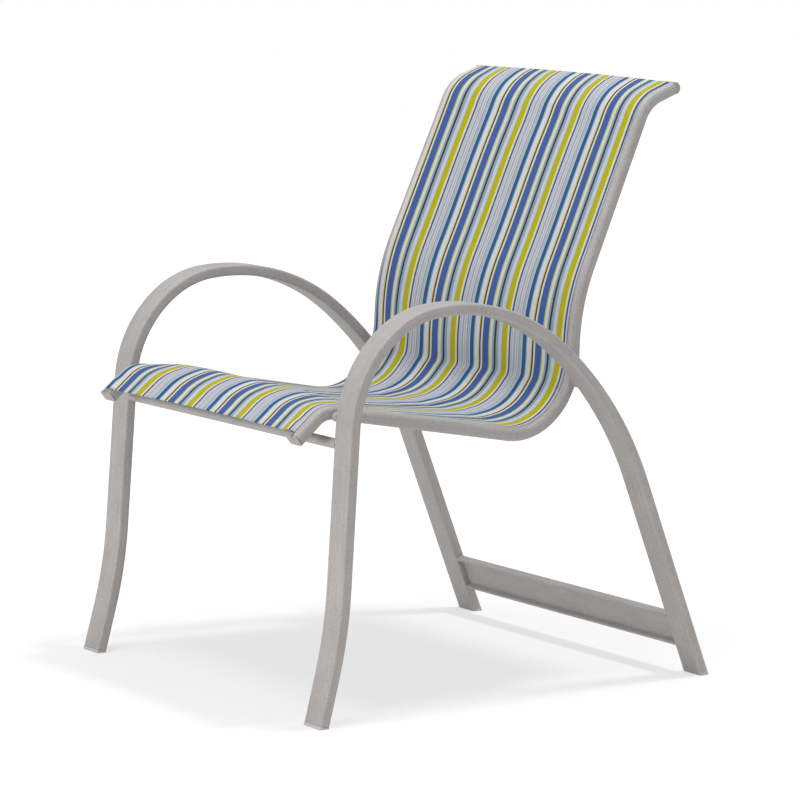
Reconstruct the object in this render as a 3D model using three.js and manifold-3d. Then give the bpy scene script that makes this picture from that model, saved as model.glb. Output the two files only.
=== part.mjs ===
// Sling patio chair: two bent side frames, two curved sling rails, a stretched sling and their cross pieces.
// Millimetres, +Z up, origin on the floor under the middle of the chair. The chair faces -Y.
// Left and right are the sitter's: left is +X.

import * as THREE from "three";
import { mergeVertices } from "three/addons/utils/BufferGeometryUtils.js";
import Module from "manifold-3d";

const wasm = await Module();
wasm.setup();

const DEG = Math.PI / 180;

// Clearances
const TOUCH_GAP = 0.3; // between pieces that touch
const CUT_OVERRUN = 2; // how far a cutting tool runs past what it cuts
const HOLE_CLEARANCE = 0.3; // between a shank or peg and its hole, all round
const MERGE_DISTANCE = 2e-5; // corners nearer to each other than this are one

// Splay: both sides stand in planes that open towards the front and towards the floor.
// Widths below are those at SPLAY_Y and SPLAY_Z.
const SPLAY_Y = -4.6;
const SPLAY_Z = 325;
const TOE_ANGLE = 0.92; // degrees, wider apart at the front
const LEAN_ANGLE = 0.56; // degrees, wider apart at the feet

// Side frame: one flat tube bent into front leg, arm and rear leg
const FRAME_TUBE_WIDTH = 41;
const FRAME_TUBE_DEPTH = 17;
const FRAME_TUBE_WALL = 1.8;
const FRAME_TUBE_CORNER = 3;
const FRAME_CENTRE_X = 284.5;
const FRONT_FOOT_Y = -358.6;
const FRONT_FOOT_ANGLE = 76.5; // degrees from the floor
const FRONT_FOOT_LENGTH = 68;
const KNEE_RADIUS = 644;
const KNEE_TURN = 11.5;
const UPRIGHT_LENGTH = 227;
const FRONT_BEND_RADIUS = 173;
const FRONT_BEND_TURN = 53.4;
const SHOULDER_RADIUS = 150;
const SHOULDER_TURN = 26.4;
const CROWN_RADIUS = 327;
const CROWN_TURN = 43.9;
const REAR_SWEEP_RADIUS = 541;
const REAR_SWEEP_TURN = 29.9;

// Sling rail: one extrusion with a keyhole slot, bent into nose, seat, back and scroll
const RAIL_WIDTH = 28;
const RAIL_DEPTH = 19;
const RAIL_WALL = 1.7;
const RAIL_CORNER = 4.5;
const RAIL_OUTER_X = 252;
const RAIL_START_Y = -377.3;
const RAIL_START_Z = 407.5;
const NOSE_ANGLE = 40.6; // degrees from the floor
const NOSE_LENGTH = 40.1;
const NOSE_RADIUS = 39.2;
const NOSE_TURN = 49.6;
const SEAT_LENGTH = 327.5;
const SEAT_BEND_RADIUS = 108.5;
const SEAT_BEND_TURN = 98.6;
const LOWER_BACK_LENGTH = 23.2;
const LUMBAR_RADIUS = 296.7;
const LUMBAR_TURN = 22.5;
const BACK_LENGTH = 242.8;
const SCROLL_RADIUS = 58.7;
const SCROLL_TURN = 45.8;
const SCROLL_LENGTH = 33.4;

// Keyhole slot in the rail's upper face, seen in its section
const SLOT_INSET = 11.7; // from the rail's outer face to the middle of the slot
const SLOT_MOUTH = 2.6;
const SLOT_LIP = 1.6;
const CHANNEL_RADIUS = 3.6;

// Sling and the rods in its edge pockets
const SLING_THICKNESS = 1.1;
const SLING_NECK = 2; // two layers through the slot's mouth
const POCKET_RADIUS = 3.2;
const POCKET_BORE_RADIUS = 2.5;
const ROD_RADIUS = 2.2;
const SLING_FRONT_SETBACK = 4.8; // along the rail, from its front end to the sling's front edge
const SLING_TOP_SETBACK = 2;
const ROD_SETBACK = 4; // from the sling's edges to the rods' ends
const SLING_CREST_HEIGHT = 10; // of its middle line over the rails, just behind the nose
const SLING_STEP_LENGTH = 30; // the longest stretch along the sling between two rows of corners

// The rise of the sling's middle line over a straight line from rail to rail, towards the sitter:
// places as shares of the rail's length, and rises as shares of SLING_CREST_HEIGHT
const SLING_RISE_SHARES = [
  [0, -0.75], [0.045, -0.78], [0.06, -0.58], [0.073, 0.05], [0.088, 0.66], [0.106, 1],
  [0.15, 0.5], [0.2, -0.45], [0.24, -0.74], [0.28, -0.39], [0.33, 0], [0.385, 0.7],
  [0.42, 0.84], [0.447, 0.45], [0.48, -0.05], [0.52, -0.36], [0.56, -0.25], [0.62, -0.45],
  [0.7, -0.6], [0.86, -0.62], [0.92, -0.8], [0.943, -0.68], [0.967, -0.12], [0.98, 0.2], [1, 0.3],
];
const SLING_COLUMN_SHARES = [-1, -0.66, -0.33, 0, 0.33, 0.66, 1]; // of the width between the rails

// Rail caps
const CAP_FLANGE = 2.5;
const CAP_PLUG_LENGTH = 14;
const CAP_PLUG_CLEARANCE = 0.35;
const CAP_NOTCH_DEPTH = 6;
const TOP_CAP_EDGE_INSET = 0.4; // how much narrower the rounded cap is than the rail, each side

// Cross tube between the front legs
const CROSS_TUBE_RADIUS = 7.5;
const CROSS_TUBE_WALL = 1.5;
const CROSS_TUBE_HEIGHT = 400.5;

// Stretcher between the rear legs: a channel, its web at the back and its two lips towards the front
const STRETCHER_HEIGHT = 56.6;
const STRETCHER_DEPTH = 12.5;
const STRETCHER_LIP = 4.6;
const STRETCHER_LIP_CORNER = 1.6;
const STRETCHER_WEB = 2.2;
const STRETCHER_FRONT_INSET = 0.5; // from the legs' front faces to the lips
const STRETCHER_CENTRE_Z = 71.2; // where its middle crosses the legs' middle line

// Spreader bars that hold the rails apart, bowed away from the sitter
const BAR_RADIUS = 8;
const BAR_WALL = 1.5;
const BAR_BOW = 10;
const SEAT_BAR_DISTANCE = 190; // from the nose along the rail's straight seat
const BACK_BAR_DISTANCE = 165; // from the lumbar bend along the rail's straight back
const BAR_PLUG_FLANGE = 2;
const BAR_PLUG_LENGTH = 15;
const BAR_PEG_RADIUS = 3;
const BAR_PEG_LENGTH = 6;

// Fasteners between rail and side frame
const BOLT_RADIUS = 3;
const BOLT_HEAD_RADIUS = 5.2;
const BOLT_HEAD_HEIGHT = 3.3;
const BOLT_CROWN_RADIUS = 2.6; // the flat on top of the domed head
const BOLT_RIM_HEIGHT = 1.1;
const BOLT_SOCKET_FLATS = 4;
const BOLT_SOCKET_DEPTH = 2;
const BOLT_TIP = 2; // how far the bolt reaches past its nut
const BOLT_DROP = 4.2; // from the rail's middle line towards its lower face
const NUT_BODY_RADIUS = 4.5;
const NUT_FLANGE_RADIUS = 5.5;
const NUT_FLANGE = 0.8;
const NUT_LENGTH = 13;
const SPACER_RADIUS = 7.2;

// Foot glides
const GLIDE_SOLE = 1.6; // thickness under the lowest corner of the leg's cut end
const GLIDE_PLUG_LENGTH = 20;
const GLIDE_PLUG_CLEARANCE = 0.4;
const GLIDE_EDGE_INSET = 0.6;

// How finely round things are cut
const BEND_SAG_HEIGHT = 0.3; // between a bend's true line and its chords
const BEND_STEP = 8; // degrees, the longest chord in a tight bend
const CORNER_SEGMENTS = 2;
const ROUND_SEGMENTS = 16;
const BOLT_SEGMENTS = 12;
const CHANNEL_SEGMENTS = 5;
const ROD_SIDES = 6;
const HEX_SIDES = 6;

const coat = { color: 0xa9a5a2, roughness: 0.62, metalness: 0.15 };
const slingLook = { color: 0xa9b3c4, roughness: 0.8, metalness: 0 };
const nylon = { color: 0xe4e2dc, roughness: 0.5, metalness: 0 };
const greyPlastic = { color: 0x9c9895, roughness: 0.6, metalness: 0 };
const steel = { color: 0xb4b6b8, roughness: 0.35, metalness: 0.9 };

const chair = new THREE.Group();

function addPiece(name, geometry, look) {
  const mesh = new THREE.Mesh(geometry, new THREE.MeshStandardMaterial(look));
  mesh.name = name;
  chair.add(mesh);
  return mesh;
}

// Solids

function toSolid(geometry) {
  const bare = geometry.clone();
  bare.deleteAttribute("normal");
  bare.deleteAttribute("uv");
  const merged = mergeVertices(bare, MERGE_DISTANCE);
  return new wasm.Manifold(new wasm.Mesh({
    numProp: 3,
    vertProperties: Float32Array.from(merged.attributes.position.array),
    triVerts: Uint32Array.from(merged.index.array),
  }));
}

function toGeometry(solid) {
  const mesh = solid.getMesh();
  const geometry = new THREE.BufferGeometry();
  geometry.setAttribute("position", new THREE.BufferAttribute(mesh.vertProperties, 3));
  geometry.setIndex(new THREE.BufferAttribute(mesh.triVerts, 1));
  return geometry;
}

function cut(geometry, tools) {
  return toGeometry(tools.reduce((solid, tool) => solid.subtract(toSolid(tool)), toSolid(geometry)));
}

function join(geometries) {
  return toGeometry(geometries.map(toSolid).reduce((sum, solid) => sum.add(solid)));
}

function chordCount(radius, turn) {
  const step = Math.min(BEND_STEP, (2 * Math.acos(1 - BEND_SAG_HEIGHT / radius)) / DEG);
  return Math.ceil(Math.abs(turn) / step);
}

// Bent paths in the chair's side view: stations with a place (y, z) and a heading in radians

function bentPath(start, pieces) {
  const stations = [{ ...start, s: 0 }];
  let { y, z, heading } = start;
  let s = 0;
  const go = (distance) => {
    y += distance * Math.cos(heading);
    z += distance * Math.sin(heading);
  };
  for (const piece of pieces) {
    if (piece.length !== undefined) {
      go(piece.length);
      s += piece.length;
      stations.push({ y, z, heading, s });
      continue;
    }
    const steps = chordCount(piece.radius, piece.turn);
    const turn = (piece.turn * DEG) / steps;
    const chord = 2 * piece.radius * Math.sin(Math.abs(turn) / 2);
    for (let i = 0; i < steps; i++) {
      heading += turn / 2;
      go(chord);
      heading += turn / 2;
      s += piece.radius * Math.abs(turn);
      stations.push({ y, z, heading, s });
    }
  }
  return stations;
}

// The station at a distance along a path, between two stored ones where need be
function stationAt(path, s) {
  const i = Math.min(Math.max(path.findIndex((p) => p.s >= s), 1), path.length - 1);
  const [a, b] = [path[i - 1], path[i]];
  const share = (s - a.s) / (b.s - a.s);
  const mix = (key) => a[key] + (b[key] - a[key]) * share;
  return { y: mix("y"), z: mix("z"), heading: mix("heading"), s };
}

// The part of a path between two distances
function partOfPath(path, from, to) {
  const inner = path.filter((p) => p.s > from && p.s < to);
  return [stationAt(path, from), ...inner, stationAt(path, to)];
}

// A place beside a path: `out` is measured along the path's left-hand normal
function beside(station, out) {
  return {
    y: station.y - out * Math.sin(station.heading),
    z: station.z + out * Math.cos(station.heading),
  };
}

// A curve through stations whose spacing is that of the stations, so that bends get the cuts
class StationCurve extends THREE.Curve {
  constructor(points) {
    super();
    this.points = points;
  }
  getPointAt(u, target = new THREE.Vector3()) {
    return target.copy(this.points[Math.round(u * (this.points.length - 1))].place);
  }
  getTangentAt(u, target = new THREE.Vector3()) {
    return target.copy(this.points[Math.round(u * (this.points.length - 1))].tangent);
  }
}

// Sweeps a section along a side-view path in the plane at x. In the section, x runs towards
// the chair's right and y along the path's left-hand normal.
function sweep(section, path, x) {
  const points = path.map((p) => ({
    place: new THREE.Vector3(x, p.y, p.z),
    tangent: new THREE.Vector3(0, Math.cos(p.heading), Math.sin(p.heading)),
  }));
  return new THREE.ExtrudeGeometry(section, {
    steps: points.length - 1,
    extrudePath: new StationCurve(points),
  });
}

// Sections

function arcPoints(x, y, radius, from, to, segments) {
  const points = [];
  for (let i = 0; i <= segments; i++) {
    const angle = (from + ((to - from) * i) / segments) * DEG;
    points.push(new THREE.Vector2(x + radius * Math.cos(angle), y + radius * Math.sin(angle)));
  }
  return points;
}

function roundedRectangle(width, height, corner, segments = CORNER_SEGMENTS) {
  const [x, y] = [width / 2 - corner, height / 2 - corner];
  return [
    ...arcPoints(x, y, corner, 0, 90, segments),
    ...arcPoints(-x, y, corner, 90, 180, segments),
    ...arcPoints(-x, -y, corner, 180, 270, segments),
    ...arcPoints(x, -y, corner, 270, 360, segments),
  ];
}

function rectangle(x0, y0, x1, y1) {
  return [[x0, y0], [x1, y0], [x1, y1], [x0, y1]].map(([x, y]) => new THREE.Vector2(x, y));
}

function circle(x, y, radius, segments) {
  return arcPoints(x, y, radius, 0, 360, segments).slice(0, -1);
}

function shapeOf(outline, hollows = []) {
  const shape = new THREE.Shape(outline);
  shape.holes = hollows.map((points) => new THREE.Path(points));
  return shape;
}

// A shape extruded along +X from x0 to x1. The shape's x is world y and its y is world z.
function extrudeAlongX(shape, x0, x1) {
  const geometry = new THREE.ExtrudeGeometry(shape, { depth: x1 - x0, bevelEnabled: false });
  geometry.applyMatrix4(new THREE.Matrix4().makeBasis(
    new THREE.Vector3(0, 1, 0),
    new THREE.Vector3(0, 0, 1),
    new THREE.Vector3(1, 0, 0),
  ));
  return geometry.translate(x0, 0, 0);
}

function roundBarAlongX(place, radius, x0, x1, segments) {
  return extrudeAlongX(shapeOf(circle(place.y, place.z, radius, segments)), x0, x1);
}

function tubeAlongX(place, radius, boreRadius, x0, x1, segments) {
  const bore = circle(place.y, place.z, boreRadius, segments);
  return extrudeAlongX(shapeOf(circle(place.y, place.z, radius, segments), [bore]), x0, x1);
}

// How much further out a side stands at a place than at SPLAY_Y and SPLAY_Z
function splayAt(y, z) {
  return (SPLAY_Y - y) * Math.tan(TOE_ANGLE * DEG) + (SPLAY_Z - z) * Math.tan(LEAN_ANGLE * DEG);
}

// Moves both halves of a geometry outwards, each into its own splayed plane
function splay(geometry) {
  const at = geometry.attributes.position;
  for (let i = 0; i < at.count; i++) {
    const x = at.getX(i);
    at.setX(i, x + Math.sign(x) * splayAt(at.getY(i), at.getZ(i)));
  }
  return geometry;
}

// Stretches a cross piece that reaches from -reach to reach so that its ends meet the splayed sides
function splayAcross(geometry, reach) {
  const at = geometry.attributes.position;
  for (let i = 0; i < at.count; i++) {
    at.setX(i, at.getX(i) * (1 + splayAt(at.getY(i), at.getZ(i)) / reach));
  }
  return geometry;
}

// Puts a geometry modelled round the chair's left side on the side asked for
function onSide(geometry, side) {
  if (side > 0) return geometry;
  const mirrored = geometry.index ? geometry.toNonIndexed() : geometry;
  mirrored.scale(-1, 1, 1);
  const at = mirrored.attributes.position;
  for (let i = 0; i < at.count; i += 3) {
    const [x, y, z] = [at.getX(i), at.getY(i), at.getZ(i)];
    at.setXYZ(i, at.getX(i + 1), at.getY(i + 1), at.getZ(i + 1));
    at.setXYZ(i + 1, x, y, z);
  }
  mirrored.deleteAttribute("normal");
  mirrored.deleteAttribute("uv");
  return mirrored;
}

const SIDES = [["left", 1], ["right", -1]];

// The side frame's path: its ends are cut square, the lower corner of each cut a sole above the floor
function framePath() {
  const rise = GLIDE_SOLE + (FRAME_TUBE_DEPTH / 2) * Math.cos(FRONT_FOOT_ANGLE * DEG);
  const start = { y: FRONT_FOOT_Y, z: rise, heading: FRONT_FOOT_ANGLE * DEG };
  const bends = bentPath(start, [
    { length: FRONT_FOOT_LENGTH },
    { radius: KNEE_RADIUS, turn: KNEE_TURN },
    { length: UPRIGHT_LENGTH },
    { radius: FRONT_BEND_RADIUS, turn: -FRONT_BEND_TURN },
    { radius: SHOULDER_RADIUS, turn: -SHOULDER_TURN },
    { radius: CROWN_RADIUS, turn: -CROWN_TURN },
    { radius: REAR_SWEEP_RADIUS, turn: -REAR_SWEEP_TURN },
  ]);
  const last = bends[bends.length - 1];
  const cutHeight = GLIDE_SOLE + (FRAME_TUBE_DEPTH / 2) * Math.cos(last.heading);
  const length = (last.z - cutHeight) / Math.sin(-last.heading);
  const end = {
    y: last.y + length * Math.cos(last.heading),
    z: cutHeight,
    heading: last.heading,
    s: last.s + length,
  };
  return [...bends, end];
}

function railPath() {
  const start = { y: RAIL_START_Y, z: RAIL_START_Z, heading: NOSE_ANGLE * DEG };
  return bentPath(start, [
    { length: NOSE_LENGTH },
    { radius: NOSE_RADIUS, turn: -NOSE_TURN },
    { length: SEAT_LENGTH },
    { radius: SEAT_BEND_RADIUS, turn: SEAT_BEND_TURN },
    { length: LOWER_BACK_LENGTH },
    { radius: LUMBAR_RADIUS, turn: -LUMBAR_TURN },
    { length: BACK_LENGTH },
    { radius: SCROLL_RADIUS, turn: -SCROLL_TURN },
    { length: SCROLL_LENGTH },
  ]);
}

const FRAME = framePath();
const RAIL = railPath();
const RAIL_CENTRE_X = RAIL_OUTER_X - RAIL_WIDTH / 2;
const RAIL_INNER_X = RAIL_OUTER_X - RAIL_WIDTH;
const SLOT_X = RAIL_OUTER_X - SLOT_INSET;
const CHANNEL_DEPTH = SLOT_LIP + Math.sqrt(CHANNEL_RADIUS ** 2 - (SLOT_MOUTH / 2) ** 2);
const CHANNEL_Y = RAIL_DEPTH / 2 - CHANNEL_DEPTH;

const FRAME_INNER_X = FRAME_CENTRE_X - FRAME_TUBE_WIDTH / 2;

// Where the rail's bolt line crosses the middle line of the side frame: behind the nose and on the back
function boltPlaces() {
  const crossings = [];
  for (let i = 1; i < RAIL.length; i++) {
    const [a, b] = [beside(RAIL[i - 1], -BOLT_DROP), beside(RAIL[i], -BOLT_DROP)];
    for (let j = 1; j < FRAME.length; j++) {
      const [c, d] = [FRAME[j - 1], FRAME[j]];
      const [ry, rz, fy, fz] = [b.y - a.y, b.z - a.z, d.y - c.y, d.z - c.z];
      const cross = ry * fz - rz * fy;
      const t = ((c.y - a.y) * fz - (c.z - a.z) * fy) / cross;
      const u = ((c.y - a.y) * rz - (c.z - a.z) * ry) / cross;
      if (t >= 0 && t < 1 && u >= 0 && u < 1) crossings.push({ y: a.y + ry * t, z: a.z + rz * t });
    }
  }
  return { front: crossings[0], rear: crossings[crossings.length - 1] };
}

const BOLTS = boltPlaces();

// Side frames

function sideFrame() {
  const inner = roundedRectangle(
    FRAME_TUBE_WIDTH - 2 * FRAME_TUBE_WALL,
    FRAME_TUBE_DEPTH - 2 * FRAME_TUBE_WALL,
    FRAME_TUBE_CORNER - FRAME_TUBE_WALL,
    1,
  );
  const outer = roundedRectangle(FRAME_TUBE_WIDTH, FRAME_TUBE_DEPTH, FRAME_TUBE_CORNER);
  const tube = sweep(shapeOf(outer, [inner]), FRAME, FRAME_CENTRE_X);
  const holes = Object.values(BOLTS).map((place) =>
    roundBarAlongX(place, NUT_BODY_RADIUS + HOLE_CLEARANCE,
      FRAME_INNER_X - CUT_OVERRUN, FRAME_INNER_X + FRAME_TUBE_WALL + CUT_OVERRUN, ROUND_SEGMENTS));
  return cut(tube, holes);
}

// Rails. In their section x is negative towards the chair's outside.

const SLOT_SECTION_X = RAIL_CENTRE_X - SLOT_X;
const SHELF_Y = CHANNEL_Y - CHANNEL_RADIUS - RAIL_WALL; // the top of the hollow under the channel

// The rail's outline with `slotPoints` as the bottom and sides of the slot
function railFace(slotPoints) {
  const [w, d] = [RAIL_WIDTH / 2 - RAIL_CORNER, RAIL_DEPTH / 2 - RAIL_CORNER];
  const corner = (x, y, from) => arcPoints(x, y, RAIL_CORNER, from, from + 90, CORNER_SEGMENTS);
  return [
    ...corner(w, d, 0),
    new THREE.Vector2(SLOT_SECTION_X + SLOT_MOUTH / 2, RAIL_DEPTH / 2),
    ...slotPoints,
    new THREE.Vector2(SLOT_SECTION_X - SLOT_MOUTH / 2, RAIL_DEPTH / 2),
    ...corner(-w, d, 90),
    ...corner(-w, -d, 180),
    ...corner(w, -d, 270),
  ];
}

function railOutline() {
  const open = Math.asin(SLOT_MOUTH / 2 / CHANNEL_RADIUS) / DEG;
  return railFace(
    arcPoints(SLOT_SECTION_X, CHANNEL_Y, CHANNEL_RADIUS, 90 - open, open - 270, CHANNEL_SEGMENTS));
}

// The hollow below the slot's channel, and beside it on the chair's inner side
function railHollow() {
  const [w, d] = [RAIL_WIDTH / 2 - RAIL_WALL, RAIL_DEPTH / 2 - RAIL_WALL];
  const wall = SLOT_SECTION_X + CHANNEL_RADIUS + RAIL_WALL;
  return [[w, -d], [w, d], [wall, d], [wall, SHELF_Y], [-w, SHELF_Y], [-w, -d]]
    .map(([x, y]) => new THREE.Vector2(x, y));
}

const SEAT_BAR_S = NOSE_LENGTH + NOSE_RADIUS * NOSE_TURN * DEG + SEAT_BAR_DISTANCE;
const BACK_STRAIGHT_S = NOSE_LENGTH + NOSE_RADIUS * NOSE_TURN * DEG + SEAT_LENGTH
  + SEAT_BEND_RADIUS * SEAT_BEND_TURN * DEG + LOWER_BACK_LENGTH + LUMBAR_RADIUS * LUMBAR_TURN * DEG;
const BACK_BAR_S = BACK_STRAIGHT_S + BACK_BAR_DISTANCE;
const BAR_SET = RAIL_DEPTH / 2 - BAR_RADIUS; // the bars lie level with the rail's lower face

function slingRail() {
  const rail = sweep(shapeOf(railOutline(), [railHollow()]), RAIL, RAIL_CENTRE_X);
  const [x0, x1] = [RAIL_INNER_X - CUT_OVERRUN, RAIL_OUTER_X + CUT_OVERRUN];
  const boltHoles = Object.values(BOLTS).map((place) =>
    roundBarAlongX(place, BOLT_RADIUS + HOLE_CLEARANCE, x0, x1, BOLT_SEGMENTS));
  const pegHoles = [SEAT_BAR_S, BACK_BAR_S].map((s) =>
    roundBarAlongX(beside(stationAt(RAIL, s), -BAR_SET), BAR_PEG_RADIUS + HOLE_CLEARANCE,
      x0, RAIL_INNER_X + RAIL_WALL + CUT_OVERRUN, BOLT_SEGMENTS));
  return cut(rail, [...boltHoles, ...pegHoles]);
}

// The front cap's face is the rail's outline with a square notch where the slot ends
function frontCapFace() {
  const bottom = RAIL_DEPTH / 2 - CAP_NOTCH_DEPTH;
  return railFace([
    new THREE.Vector2(SLOT_SECTION_X + SLOT_MOUTH / 2, bottom),
    new THREE.Vector2(SLOT_SECTION_X - SLOT_MOUTH / 2, bottom),
  ]);
}

// The plug of a cap: it fills the lower hollow of the rail, with a clearance all round
function capPlug() {
  const [w, d] = [RAIL_WIDTH / 2 - RAIL_WALL, RAIL_DEPTH / 2 - RAIL_WALL];
  const c = CAP_PLUG_CLEARANCE;
  return rectangle(-w + c, -d + c, w - c, SHELF_Y - c);
}

// A straight stretch from a station, ahead of it or, with a negative length, behind it
function straightFrom(station, from, to) {
  return [from, to].sort((a, b) => a - b).map((distance) => ({
    y: station.y + distance * Math.cos(station.heading),
    z: station.z + distance * Math.sin(station.heading),
    heading: station.heading,
  }));
}

function railFrontCap() {
  const end = RAIL[0];
  const face = straightFrom(end, -TOUCH_GAP - CAP_FLANGE, -TOUCH_GAP);
  const plug = straightFrom(end, -TOUCH_GAP - CAP_FLANGE / 2, CAP_PLUG_LENGTH);
  return join([
    sweep(shapeOf(frontCapFace()), face, RAIL_CENTRE_X),
    sweep(shapeOf(capPlug()), plug, RAIL_CENTRE_X),
  ]);
}

// The top cap is round in side view, as deep as the rail
function railTopCap() {
  const end = RAIL[RAIL.length - 1];
  const foot = straightFrom(end, TOUCH_GAP, TOUCH_GAP)[0];
  const angle = end.heading / DEG;
  const outline = arcPoints(
    foot.y, foot.z, RAIL_DEPTH / 2, angle - 90, angle + 90, ROUND_SEGMENTS / 2);
  const [x0, x1] = [RAIL_INNER_X + TOP_CAP_EDGE_INSET, RAIL_OUTER_X - TOP_CAP_EDGE_INSET];
  const dome = extrudeAlongX(shapeOf(outline), x0, x1);
  const plug = straightFrom(end, -CAP_PLUG_LENGTH, TOUCH_GAP + CAP_FLANGE / 2);
  return join([dome, sweep(shapeOf(capPlug()), plug, RAIL_CENTRE_X)]);
}

// Sling: one sheet over both rails, each edge turned down through the slot into a pocket round its rod.
// Between the rails it hangs hollow in the seat and bellies out where seat and back meet.

function slingSection() {
  const under = RAIL_DEPTH / 2 + TOUCH_GAP;
  const top = under + SLING_THICKNESS;
  const neck = SLING_NECK / 2;
  const open = Math.asin(neck / POCKET_RADIUS) / DEG;
  const edge = (side) => [
    new THREE.Vector2(side * (SLOT_X - neck), under),
    ...arcPoints(side * SLOT_X, CHANNEL_Y, POCKET_RADIUS,
      90 + side * open, 90 + side * (360 - open), CHANNEL_SEGMENTS),
    new THREE.Vector2(side * (SLOT_X + neck), under),
    new THREE.Vector2(side * SLOT_X, top),
  ];
  const columns = SLING_COLUMN_SHARES.map((share) => share * RAIL_INNER_X);
  return [
    ...edge(1),
    ...columns.toReversed().map((x) => new THREE.Vector2(x, top)),
    ...edge(-1).reverse(),
    ...columns.map((x) => new THREE.Vector2(x, under)),
  ];
}

const RAIL_LENGTH = RAIL[RAIL.length - 1].s;

function slingRise(s) {
  const [places, rises] = [0, 1].map((key) => SLING_RISE_SHARES.map((knot) => knot[key]));
  const curve = new THREE.CubicInterpolant(places, rises, 1);
  return curve.evaluate(s / RAIL_LENGTH)[0] * SLING_CREST_HEIGHT;
}

// A path with more stations on its straights
function withSteps(path, longest) {
  return path.flatMap((station, i) => {
    if (i === 0) return [station];
    const from = path[i - 1].s;
    const steps = Math.ceil((station.s - from) / longest);
    return Array.from({ length: steps }, (_, k) =>
      stationAt(path, from + ((station.s - from) * (k + 1)) / steps));
  });
}

// A closed skin over rings of points, one ring per station. `flatAt` gives a section point's place in
// the section of a station, and `spaceAt` turns that into a place in space. Every quad is split
// from its corner nearer to x = 0, so that both faces of a thin sheet are split alike.
function skin(outlines, stations, flatAt, spaceAt) {
  const rings = stations.map((station) =>
    outlines.map((outline) => outline.map((point) => flatAt(point, station))));
  const ringSize = outlines.flat().length;
  const corners = rings.flatMap((ring, row) =>
    ring.flat().flatMap((point) => spaceAt(point, stations[row])));
  const triangles = [];
  let first = 0;
  for (const outline of outlines) {
    outline.forEach((point, j) => {
      const k = (j + 1) % outline.length;
      const startsAtJ = Math.abs(point.x) <= Math.abs(outline[k].x);
      for (let row = 0; row + 1 < stations.length; row++) {
        const [near, far] = [row, row + 1].map((r) => r * ringSize + first);
        const quad = [near + j, near + k, far + k, far + j];
        const [a, b, c, d] = startsAtJ ? quad : [...quad.slice(1), quad[0]];
        triangles.push(a, b, c, a, c, d);
      }
    });
    first += outline.length;
  }
  const lid = (row) => THREE.ShapeUtils.triangulateShape(rings[row][0], rings[row].slice(1))
    .map((face) => face.map((corner) => row * ringSize + corner));
  triangles.push(...lid(0).flatMap((face) => face.toReversed()), ...lid(stations.length - 1).flat());
  const geometry = new THREE.BufferGeometry();
  geometry.setAttribute("position", new THREE.Float32BufferAttribute(corners, 3));
  geometry.setIndex(triangles);
  return geometry;
}

function sling() {
  const pockets = [1, -1].map((side) =>
    circle(side * SLOT_X, CHANNEL_Y, POCKET_BORE_RADIUS, ROD_SIDES).reverse());
  const part = partOfPath(RAIL, SLING_FRONT_SETBACK, RAIL_LENGTH - SLING_TOP_SETBACK);
  const risen = (point, station) => {
    const across = Math.min(Math.abs(point.x) / RAIL_INNER_X, 1);
    return new THREE.Vector2(point.x, point.y + slingRise(station.s) * (1 - across ** 2));
  };
  const inSpace = (point, station) => {
    const place = beside(station, point.y);
    return [-point.x, place.y, place.z];
  };
  return skin([slingSection(), ...pockets], withSteps(part, SLING_STEP_LENGTH), risen, inSpace);
}

function splineRod() {
  const from = SLING_FRONT_SETBACK + ROD_SETBACK;
  const to = RAIL_LENGTH - SLING_TOP_SETBACK - ROD_SETBACK;
  const path = partOfPath(RAIL, from, to);
  return sweep(shapeOf(circle(0, CHANNEL_Y, ROD_RADIUS, ROD_SIDES)), path, SLOT_X);
}

// Cross pieces

function frontCrossTube() {
  const leg = FRAME.findIndex((p) => p.z > CROSS_TUBE_HEIGHT);
  const [a, b] = [FRAME[leg - 1], FRAME[leg]];
  const share = (CROSS_TUBE_HEIGHT - a.z) / (b.z - a.z);
  const place = { y: a.y + (b.y - a.y) * share, z: CROSS_TUBE_HEIGHT };
  const reach = FRAME_INNER_X - TOUCH_GAP;
  const tube = tubeAlongX(
    place, CROSS_TUBE_RADIUS, CROSS_TUBE_RADIUS - CROSS_TUBE_WALL, -reach, reach, ROUND_SEGMENTS);
  return splayAcross(tube, reach);
}

// The stretcher's section: x from the legs' front face backwards, y up along the legs
function stretcherSection() {
  const front = -FRAME_TUBE_DEPTH / 2 + STRETCHER_FRONT_INSET;
  const back = front + STRETCHER_DEPTH;
  const [h, r] = [STRETCHER_HEIGHT / 2, STRETCHER_LIP_CORNER];
  return [
    ...arcPoints(back - r, -h + r, r, 270, 360, CORNER_SEGMENTS),
    ...arcPoints(back - r, h - r, r, 0, 90, CORNER_SEGMENTS),
    ...arcPoints(front + r, h - r, r, 90, 180, CORNER_SEGMENTS),
    ...arcPoints(front + r, h - STRETCHER_LIP + r, r, 180, 270, CORNER_SEGMENTS),
    new THREE.Vector2(back - STRETCHER_WEB, h - STRETCHER_LIP),
    new THREE.Vector2(back - STRETCHER_WEB, -h + STRETCHER_LIP),
    ...arcPoints(front + r, -h + STRETCHER_LIP - r, r, 90, 180, CORNER_SEGMENTS),
    ...arcPoints(front + r, -h + r, r, 180, 270, CORNER_SEGMENTS),
  ];
}

function rearStretcher() {
  const last = FRAME[FRAME.length - 1];
  const back = (STRETCHER_CENTRE_Z - last.z) / Math.sin(-last.heading);
  const place = { y: last.y - back * Math.cos(last.heading), z: STRETCHER_CENTRE_Z };
  const tilt = last.heading + 90 * DEG;
  const outline = stretcherSection().map((p) => new THREE.Vector2(
    place.y + p.x * Math.cos(tilt) - p.y * Math.sin(tilt),
    place.z + p.x * Math.sin(tilt) + p.y * Math.cos(tilt),
  ));
  const reach = FRAME_INNER_X - TOUCH_GAP;
  return splayAcross(extrudeAlongX(shapeOf(outline), -reach, reach), reach);
}

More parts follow.
